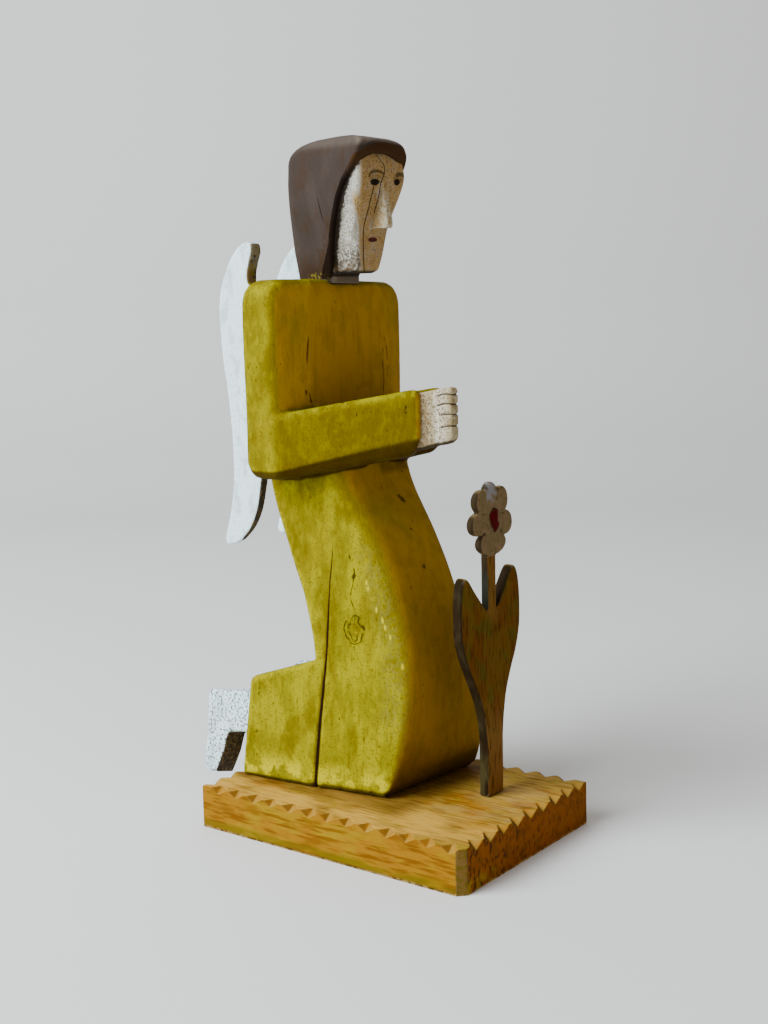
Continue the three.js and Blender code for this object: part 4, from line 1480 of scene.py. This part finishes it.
@dataclass(frozen=True)
class FacePaint:
    """Flesh-coloured paint gone tan, rubbed white on the cheeks and the nose, the features drawn on it."""

    base: int = 0xA28656
    warm: int = 0x906A36
    grey: int = 0x9C907A
    pale: int = 0xBAB9AE
    shade: int = 0x5E482E
    drawn: int = 0x0C0804
    brow: int = 0x42361C
    lips: int = 0x401014
    speck: int = 0x4C3A22
    worn: int = 0x6A6250
    cream: int = 0xB0A890
    dusty: int = 0x7C7464
    grime: int = 0x3A3226
    deep: int = 0x2C2014
    jaw: int = 0x5C5246

    def material(self) -> bpy.types.Material:
        """Half-matt speckled skin paint with drawn eyes, brows and mouth and fine cracks down the front.

        Returns:
            The material.
        """
        paint = Paint("flesh_paint_on_wood", self.base)
        coat, noise, field = paint.coat, paint.noise, paint.field
        across, edge = field("facing", 0), field("edge")
        deep, height = paint.place(1), paint.place(2)
        speck = noise(0.65, shift=1.0, detail=2.0)
        coat(self.warm, 0.4, (noise(8, shift=2.0), 0.46, 0.64))
        coat(self.grey, 0.4, (noise(6, shift=3.0), 0.48, 0.64))
        coat(self.speck, 0.85, (speck, 0.51, 0.64))
        # White rubbed over cheek, temple and nose, worn through in specks.
        ragged = paint.ragged(across, -1.1, speck)
        cheek = [(ragged, -0.62, -1.1), (deep, 0.0115, 0.0145)]
        coat(self.pale, 0.95, *cheek, (height, 0.365, 0.356))
        temple = [(ragged, -0.8, -1.1), (deep, 0.0045, 0.0085)]
        temple += [(height, 0.336, 0.344), (height, 0.3625, 0.356)]
        coat(self.pale, 0.9, *temple)
        coat(self.worn, 0.8, (speck, 0.5, 0.38), *temple)
        coat(
            self.cream, 0.85, (field("nose"), 0.2, 0.9), (deep, 0.0095, 0.0045),
            (noise(1.4, shift=7.0), 0.36, 0.56)
        )
        coat(self.pale, 0.55, (edge, 0.02, 0.08), (speck, 0.4, 0.55))
        coat(self.worn, 0.9, (speck, 0.54, 0.4), *cheek)
        coat(self.dusty, 0.7, (noise(4, (1, 1, 0.5), 12.0, 4.0), 0.5, 0.62), *cheek)
        coat(self.grime, 0.8, (height, 0.320, 0.306), (noise(1.5, shift=13.0), 0.46, 0.56), *cheek)
        # Painted shade where the face's side runs back into the hair; darker low on the near side.
        rear = paint.ragged(field("rear"), 4.0, noise(2.0, shift=9.0))
        coat(self.deep, 0.9, (rear, -0.2, 1.4), (across, -0.4, -0.8))
        coat(
            self.shade, 0.75, (height, 0.3085, 0.3015), (noise(2.0, shift=5.0, detail=5.0), 0.4, 0.54),
            (across, -0.2, -0.6)
        )
        # The drawn features and the cracks, then the neck's grey below the jaw, a painted shadow in a thin
        # band under the jaw, and the neck's near side darker.
        for part, colour, strength in ((2, self.brow, 0.3), (0, self.drawn, 0.97), (1, self.lips, 0.95)):
            coat(colour, strength, (field("drawn", part), 1.25, 0.9))
        for part, width in ((0, 1.35), (1, 1.5), (2, 1.0)):
            colour = self.brow if part < 2 else self.drawn
            coat(colour, 0.85, *on_line(field("brows", part), width, 0.6))
        for part in range(2):
            coat(self.drawn, 0.9, *on_line(field("cracks", part), 1.5, 0.6))
        coat(self.jaw, 0.9, (height, 0.3003, 0.2993))
        # Painted shadow: a thin dark band where the chin overhangs the neck.
        coat(self.drawn, 0.8, (height, 0.3014, 0.3002), (height, 0.2974, 0.2986))
        coat(self.drawn, 0.7, (height, 0.3003, 0.2993), (across, -0.5, -0.9))
        coat(self.drawn, 0.5, (edge, -0.03, -0.12))
        paint.relief(speck, 0.1)
        paint.relief(noise(3.0, (1, 1, 0.4), 6.0), 0.12)
        return paint.finished((0.58, 0.8), speck)


@dataclass(frozen=True)
class HandPaint:
    """Cream paint, chalky and speckled, browner towards the sleeves and dark in the grooves."""

    base: int = 0x968660
    pale: int = 0xB4A98A
    brown: int = 0x8C6C42
    dark: int = 0x2C2010
    chalk: int = 0xC8C0AC
    speck: int = 0x5E5240

    def material(self) -> bpy.types.Material:
        """Matt paint with specks, worn corners and dark grooves.

        Returns:
            The material.
        """
        paint = Paint("cream_paint_on_wood", self.base)
        coat, noise, field = paint.coat, paint.noise, paint.field
        along, edge, up = paint.place(1), field("edge"), field("facing", 2)
        speck = noise(0.9, shift=1.0, detail=2.0)
        coat(self.pale, 0.75, (noise(4, shift=2.0, detail=5.0), 0.42, 0.58))
        coat(self.pale, 0.8, (along, -0.03, -0.024), (noise(2, shift=2.5), 0.3, 0.6))
        coat(self.brown, 0.6, (along, -0.0275, -0.024), (noise(1.6, shift=3.0), 0.36, 0.56))
        coat(self.chalk, 0.8, (along, -0.036, -0.031), (along, -0.0262, -0.0285), (speck, 0.62, 0.5))
        coat(self.speck, 0.75, (speck, 0.53, 0.64), (along, -0.036, -0.022))
        coat(self.speck, 0.6, (speck, 0.52, 0.62))
        coat(self.pale, 0.7, (up, 0.5, 0.9))
        coat(self.brown, 0.6, (edge, 0.04, 0.12), (along, -0.033, -0.036))
        coat(self.dark, 0.85, (field("groove"), 0.45, 0.95))
        # Painted shade on the faces that look down.
        coat(self.dark, 0.9, (up, -0.3, -0.8))
        paint.relief(speck, 0.14)
        paint.relief(noise(2.5, shift=4.0), 0.15)
        return paint.finished((0.65, 0.85), speck)


@dataclass(frozen=True)
class Whitewash:
    """Cool white paint, stippled, worn to the bare wood on sawn edges that face front."""

    name: str
    bare_below: float = 9.0
    stippled: float = 0.15
    base: int = 0xDCF4FA
    grey: int = 0x9FAAA8
    bare: int = 0x33230E
    olive: int = 0x867412
    pink: int = 0x7A6250
    dab: int = 0x5A6662
    worn: int = 0x8A8A7C
    stroke: int = 0x7A6444
    cream: int = 0x8C8674

    def material(self) -> bpy.types.Material:
        """Chalky white with grey dabs, rubbed arrises and unpainted front edges.

        Returns:
            The material.
        """
        paint = Paint(self.name, self.base)
        coat, noise, field = paint.coat, paint.noise, paint.field
        front, edge = field("facing", 1), field("edge")
        stipple = noise(1.5, shift=1.0, detail=2.0)
        coat(self.grey, 0.45, (noise(7, (1, 1, 0.6), 2.0, 4.0), 0.48, 0.66))
        coat(self.dab, self.stippled, (stipple, 0.5, 0.62))
        coat(self.worn, 0.5, (noise(2.0, shift=3.0, detail=4.0), 0.63, 0.7))
        strokes = noise(1.6, (1, 0.5, 0.9), 8.0, 4.0)
        # Sawn edges that face front stay bare: brown, olive and cream towards a wing's upper tip.
        height = paint.place(2)
        low = (height, self.bare_below + 0.003, self.bare_below - 0.003)
        bare = (paint.mask(1.0, (front, -0.45, -0.62), low), 0.3, 0.6)
        coat(self.bare, 0.96, bare)
        coat(self.stroke, 0.7, bare, (strokes, 0.5, 0.62))
        coat(self.olive, 0.8, bare, (noise(6, shift=4.0), 0.4, 0.52), (height, 0.28, 0.29))
        coat(self.pink, 0.7, bare, (noise(5, shift=5.0), 0.5, 0.62), (height, 0.28, 0.3))
        coat(self.cream, 0.85, bare, (height, 0.301, 0.307), (strokes, 0.38, 0.5))
        coat(self.olive, 0.5, (edge, 0.03, 0.09), (noise(4, shift=6.0), 0.55, 0.64))
        paint.relief(stipple, 0.16)
        paint.relief(noise(6, shift=7.0), 0.22)
        return paint.finished((0.72, 0.9), stipple)


@dataclass(frozen=True)
class OchreStain:
    """Ochre stain on the plinth: grain along the flanks, orange-brown end grain in front, tan worn top."""

    base: int = 0x906410
    yellow: int = 0x907A10
    streak: int = 0x643A00
    top: int = 0xA4802E
    orange: int = 0x9A6404
    brown: int = 0x4A2C06
    olive: int = 0x5A4E06
    ends: int = 0x7C4400
    chip: int = 0x9C7830
    dark: int = 0x2A1602
    corner: int = 0x6A522A
    tan: int = 0xD0A244
    pale: int = 0xAE9058
    worn: int = 0xCCAE66

    def material(self) -> bpy.types.Material:
        """Thin stain whose grain runs along the plinth's length.

        Returns:
            The material.
        """
        paint = Paint("ochre_stained_wood", self.base)
        coat, noise, field = paint.coat, paint.noise, paint.field
        x, y, z = (paint.place(part) for part in range(3))
        across, front, up = (field("facing", part) for part in range(3))
        grain = noise(1.6, (1, 0.09, 1), 1.0, 4.0)
        coat(self.yellow, 0.6, (noise(9, (1, 0.45, 1), 2.0, 5.0), 0.48, 0.66))
        coat(self.streak, 0.6, (noise(6, (1, 0.3, 1), 3.0, 6.0), 0.48, 0.68))
        coat(self.streak, 0.7, (grain, 0.48, 0.62))
        coat(
            self.yellow, 0.6, (z, 0.0085, 0.002), (up, 0.6, 0.3), (noise(14, (1, 0.4, 1), 14.0), 0.4, 0.56)
        )
        coat(
            self.olive, 0.65, (z, 0.0065, 0.0035), (up, 0.6, 0.3),
            (noise(10, (1, 0.3, 1), 15.0), 0.34, 0.52)
        )
        coat(self.brown, 0.7, (z, 0.0020, 0.0008))
        # Orange-brown end grain in front, speckled.
        specks = noise(1.7, (1, 1, 0.5), 4.0, 4.0)
        ends = (paint.mask(1.0, (front, -0.6, -0.85)), 0.2, 0.8)
        coat(self.ends, 1.0, ends)
        coat(self.streak, 0.6, ends, (noise(7, shift=5.0), 0.46, 0.6))
        coat(self.dark, 0.75, ends, (specks, 0.48, 0.64), (x, 0.03, -0.05))
        coat(
            self.yellow, 0.6, ends, (z, 0.010, 0.004), (noise(5, shift=16.0), 0.42, 0.56), (x, -0.02, -0.05)
        )
        coat(self.dark, 0.5, ends, (specks, 0.55, 0.64))
        # The tan top, palest along the right edge, with painted shadow darkening it round the figure's foot.
        level = (up, 0.8, 0.95)
        coat(self.top, 1.0, level)
        coat(self.orange, 0.75, level, (noise(16, (1, 0.6, 1), 6.0, 4.0), 0.48, 0.62))
        coat(self.yellow, 0.5, level, (noise(11, shift=7.0), 0.54, 0.64))
        coat(self.brown, 0.45, level, (noise(7, (1, 0.4, 1), 8.0, 4.0), 0.52, 0.7))
        coat(self.streak, 0.4, level, (grain, 0.5, 0.62))
        coat(self.tan, 0.75, level, (x, -0.014, -0.036), (noise(13, (1, 0.4, 1), 17.0, 5.0), 0.36, 0.6))
        coat(
            self.pale, 0.3, level, (x, -0.036, -0.014), (y, -0.02, -0.05),
            (noise(11, (1, 0.6, 1), 18.0, 5.0), 0.46, 0.64)
        )
        coat(self.streak, 0.3, level, (grain, 0.5, 0.62))
        # Painted shadow on the top round where the figure stands.
        under = [(x, -0.046, -0.034), (x, 0.068, 0.058), (y, -0.042, -0.026), (y, 0.09, 0.078)]
        coat(self.brown, 0.55, level, *under)
        # Freshly cut notches, whose facets turned away from the light are darker, partly from the stain and
        # partly as painted shade; worn arrises, the broken corner.
        notch = [(field("notch"), 0.03, 0.25), (across, -0.97, -0.86), (front, -0.97, -0.86)]
        coat(self.chip, 0.95, *notch)
        # Partly painted shade: notch facets facing away from the light are darkened.
        coat(self.streak, 0.7, *notch, (front, -0.08, -0.3), (across, 0.05, -0.15), (y, -0.084, -0.078))
        coat(self.brown, 0.9, *notch, (across, 0.02, 0.2), (front, -0.1, -0.4))
        coat(self.orange, 0.5, *notch, (noise(5, shift=9.0), 0.48, 0.6))
        coat(self.worn, 0.65, (field("edge"), 0.06, 0.16), (noise(3, shift=10.0), 0.4, 0.55))
        corner = (field("corner"), 0.6, 0.2)
        coat(self.corner, 0.9, corner)
        coat(self.olive, 0.7, corner, (noise(3, shift=11.0, detail=5.0), 0.45, 0.6))
        paint.relief(grain, 0.14)
        paint.relief(noise(3, (1, 0.3, 1), 12.0), 0.2)
        return paint.finished((0.5, 0.75), grain)


@dataclass(frozen=True)
class LeafStain:
    """Olive-brown stain on stem and leaves, greyed petals and a dark red button."""

    base: int = 0x5C4208
    red: int = 0x5C3204
    green: int = 0x4A4608
    side: int = 0x1C140A
    grey: int = 0x383020
    petal: int = 0x6A5A3C
    lilac: int = 0x7E8088
    pink: int = 0x766046
    button: int = 0x4A0206
    dark: int = 0x1C1002
    worn: int = 0x8A8468
    moss: int = 0x443E22
    stem: int = 0x6A4A1C
    foot: int = 0x7A5428
    slate: int = 0x262E26

    def material(self) -> bpy.types.Material:
        """Thin stain with upright grain, greyer on the sawn edges, whose sides facing the figure's right are
        painted dark, partly as painted shade.

        Returns:
            The material.
        """
        paint = Paint("stained_fretwork", self.base)
        coat, noise, field = paint.coat, paint.noise, paint.field
        across, front, edge = field("facing", 0), field("facing", 1), field("edge")
        s, z = field("board", 0), field("board", 1)
        grain = noise(1.2, (1, 1, 0.12), 1.0, 4.0)
        coat(self.red, 0.7, (noise(9, (1, 1, 0.3), 2.0), 0.46, 0.6))
        coat(self.green, 0.7, (noise(8, (1, 1, 0.5), 3.0), 0.5, 0.64))
        coat(self.dark, 0.5, (grain, 0.5, 0.66))
        # Partly painted shade: the sawn sides facing the figure's right are darkened.
        side = (across, -0.3, -0.7)
        coat(self.side, 0.95, side)
        coat(self.grey, 0.35, side, (noise(4, (1, 1, 0.4), 4.0, 5.0), 0.48, 0.62))
        coat(self.worn, 0.5, (edge, 0.05, 0.12), (noise(4, shift=5.0), 0.4, 0.56))
        coat(self.moss, 0.7, (across, -0.2, -0.6), (z, 84, 50), (noise(5, (1, 1, 0.3), 12.0), 0.36, 0.6))
        coat(self.stem, 0.8, (z, 114, 126), (front, -0.5, -0.8), (s, -6, -5), (s, 6, 5), (grain, 0.7, 0.5))
        coat(self.foot, 0.7, (z, 84, 52), (front, -0.5, -0.8), (grain, 0.68, 0.5))
        coat(self.slate, 0.6, side, (z, 112, 118), (z, 150, 138), (s, -9, -7), (s, 0, -2))
        # Greyed petals with dark arrises and their sides facing the figure's right darkened partly as painted
        # shade, a lilac upper petal, the dark red button.
        bloom = (z, 152.2, 153.2)
        coat(self.petal, 1.0, bloom)
        coat(self.pink, 0.7, bloom, (noise(5, shift=6.0), 0.46, 0.6), (front, -0.3, -0.7))
        coat(self.side, 0.5, bloom, (edge, 0.04, 0.11))
        coat(self.side, 0.25, bloom, (noise(2.0, shift=7.0, detail=5.0), 0.5, 0.64))
        # Partly painted shade on the petals' sides facing the figure's right.
        coat(self.side, 0.85, bloom, (across, -0.35, -0.75))
        coat(
            self.lilac, 0.7, (z, 179, 184), (s, -4.6, -3.4), (s, 5.6, 4.4),
            (noise(4, shift=8.0), 0.34, 0.56)
        )
        button = field("button")
        coat(self.dark, 0.8, bloom, (edge, -0.01, -0.06), (button, 1.2, 1.6))
        ragged = paint.ragged(button, 0.5, noise(2.2, shift=9.0))
        ahead = (front, -0.1, -0.4)
        coat(self.dark, 0.8, (ragged, 1.42, 1.3), ahead)
        coat(self.button, 1.0, (ragged, 1.28, 1.16), ahead)
        coat(self.dark, 0.5, (ragged, 1.28, 1.16), ahead, (noise(1.6, shift=13.0), 0.5, 0.6))
        coat(self.pink, 0.9, (ragged, 1.3, 1.16), (s, 3.6, 4.6), (z, 169, 171), ahead)
        paint.relief(grain, 0.14)
        paint.relief(noise(1.5, shift=11.0), 0.1)
        return paint.finished((0.6, 0.82), grain)


# The studio


@dataclass
class Studio:
    """Pale floor, pale wall and soft light from the figure's right rear, seen from the photo's place.

    Places are in metres, angles in radians, powers in watts, and the floor's profile is (away, up).
    """

    place: tuple[float, float, float] = (-0.59434, -0.45207, 0.28212)
    yaw: float = 0.6524
    pitch: float = -0.1443
    roll: float = -0.0239
    lens: float = 49.92
    key: tuple[float, float, float] = (-1.5, 0.75, 1.3)
    key_power: float = 101.0
    key_size: float = 1.5
    key_colour: int = 0xF4FAFF
    fill: tuple[float, float, float] = (-0.9, -2.2, 1.0)
    fill_power: float = 12.0
    fill_size: float = 3.2
    fill_colour: int = 0xFFD2A4
    sky: float = 0.45
    sky_colour: int = 0xE6E8EA
    paper: int = 0xE4E4E2
    aim: tuple[float, float, float] = (0, 0, 0.18)
    floor: Table = ((-3.0, 0), (1.2, 0), (1.5, 0.06), (1.7, 0.3), (1.75, 0.8), (1.75, 3.0))
    floor_half: float = 4.0

    def camera(self) -> None:
        """The photo's camera, upright picture, no depth of field."""
        level = np.cos(self.pitch)
        ahead = Vector((np.cos(self.yaw) * level, np.sin(self.yaw) * level, np.sin(self.pitch)))
        turn = ahead.to_track_quat("-Z", "Y").to_matrix().to_4x4() @ Matrix.Rotation(self.roll, 4, "Z")
        data = bpy.data.cameras.new("camera")
        data.lens, data.sensor_width = self.lens, 36.0
        camera = bpy.data.objects.new("camera", data)
        camera.matrix_world = Matrix.Translation(self.place) @ turn
        bpy.context.scene.collection.objects.link(camera)
        bpy.context.scene.camera = camera

    def _lamp(self, name: str, place: Sequence[float], power: float, size: float, colour: int) -> None:
        """A square area light that looks at the figure's middle.

        Args:
            name: Its name.
            place: Where it stands, in metres.
            power: Its power in watts.
            size: Its side in metres.
            colour: sRGB hex of its light.
        """
        data = bpy.data.lights.new(name, "AREA")
        data.energy, data.size, data.color = power, size, linear(colour)[:3]
        lamp = bpy.data.objects.new(name, data)
        lamp.location = place
        lamp.rotation_euler = (Vector(self.aim) - Vector(place)).to_track_quat("-Z", "Y").to_euler()
        bpy.context.scene.collection.objects.link(lamp)

    def build(self) -> None:
        """Camera, sky, two lamps and a plain pale floor that rises into a wall far behind."""
        self.camera()
        self._lamp("key", self.key, self.key_power, self.key_size, self.key_colour)
        self._lamp("fill", self.fill, self.fill_power, self.fill_size, self.fill_colour)
        world = bpy.data.worlds.new("sky")
        world.use_nodes = True
        background = world.node_tree.nodes["Background"].inputs
        background["Color"].default_value = linear(self.sky_colour)
        background["Strength"].default_value = self.sky
        bpy.context.scene.world = world
        profile = np.array(self.floor)
        away = Vector((np.cos(self.yaw), np.sin(self.yaw)))
        side = np.array([-away.y, away.x])
        rows = profile[:, :1] * np.array(away)
        ends = (self.floor_half, -self.floor_half)
        points = [np.concatenate([rows + side * s, profile[:, 1:]], 1) for s in ends]
        count = len(profile)
        faces = [(i, i + count, i + count + 1, i + 1) for i in range(count - 1)]
        mesh = bpy.data.meshes.new("floor")
        mesh.from_pydata(np.concatenate(points), [], faces)
        mesh.polygons.foreach_set("use_smooth", np.ones(len(faces), bool))
        paper = Paint("pale_paper", self.paper)
        mesh.materials.append(paper.finished((0.9, 0.9), paper.noise(40)))
        floor = bpy.data.objects.new("floor", mesh)
        bpy.context.scene.collection.objects.link(floor)


def main() -> None:
    """Builds studio and pieces."""
    logging.basicConfig(level=logging.INFO)
    Studio().build()
    Plinth().build(OchreStain().material())
    Robe().build(RobePaint().material())
    Head().build(HairPaint().material(), FacePaint().material())
    Hands().build(HandPaint().material())
    wing_paint = Whitewash("white_paint_on_wing").material()
    foot_paint = Whitewash("white_paint_on_foot", bare_below=0.052, stippled=0.95).material()
    for flank in Flank:
        Wing().build(flank, wing_paint)
        Foot().build(flank, foot_paint)
    Flower().build(LeafStain().material())


if __name__ == "__main__":
    main()
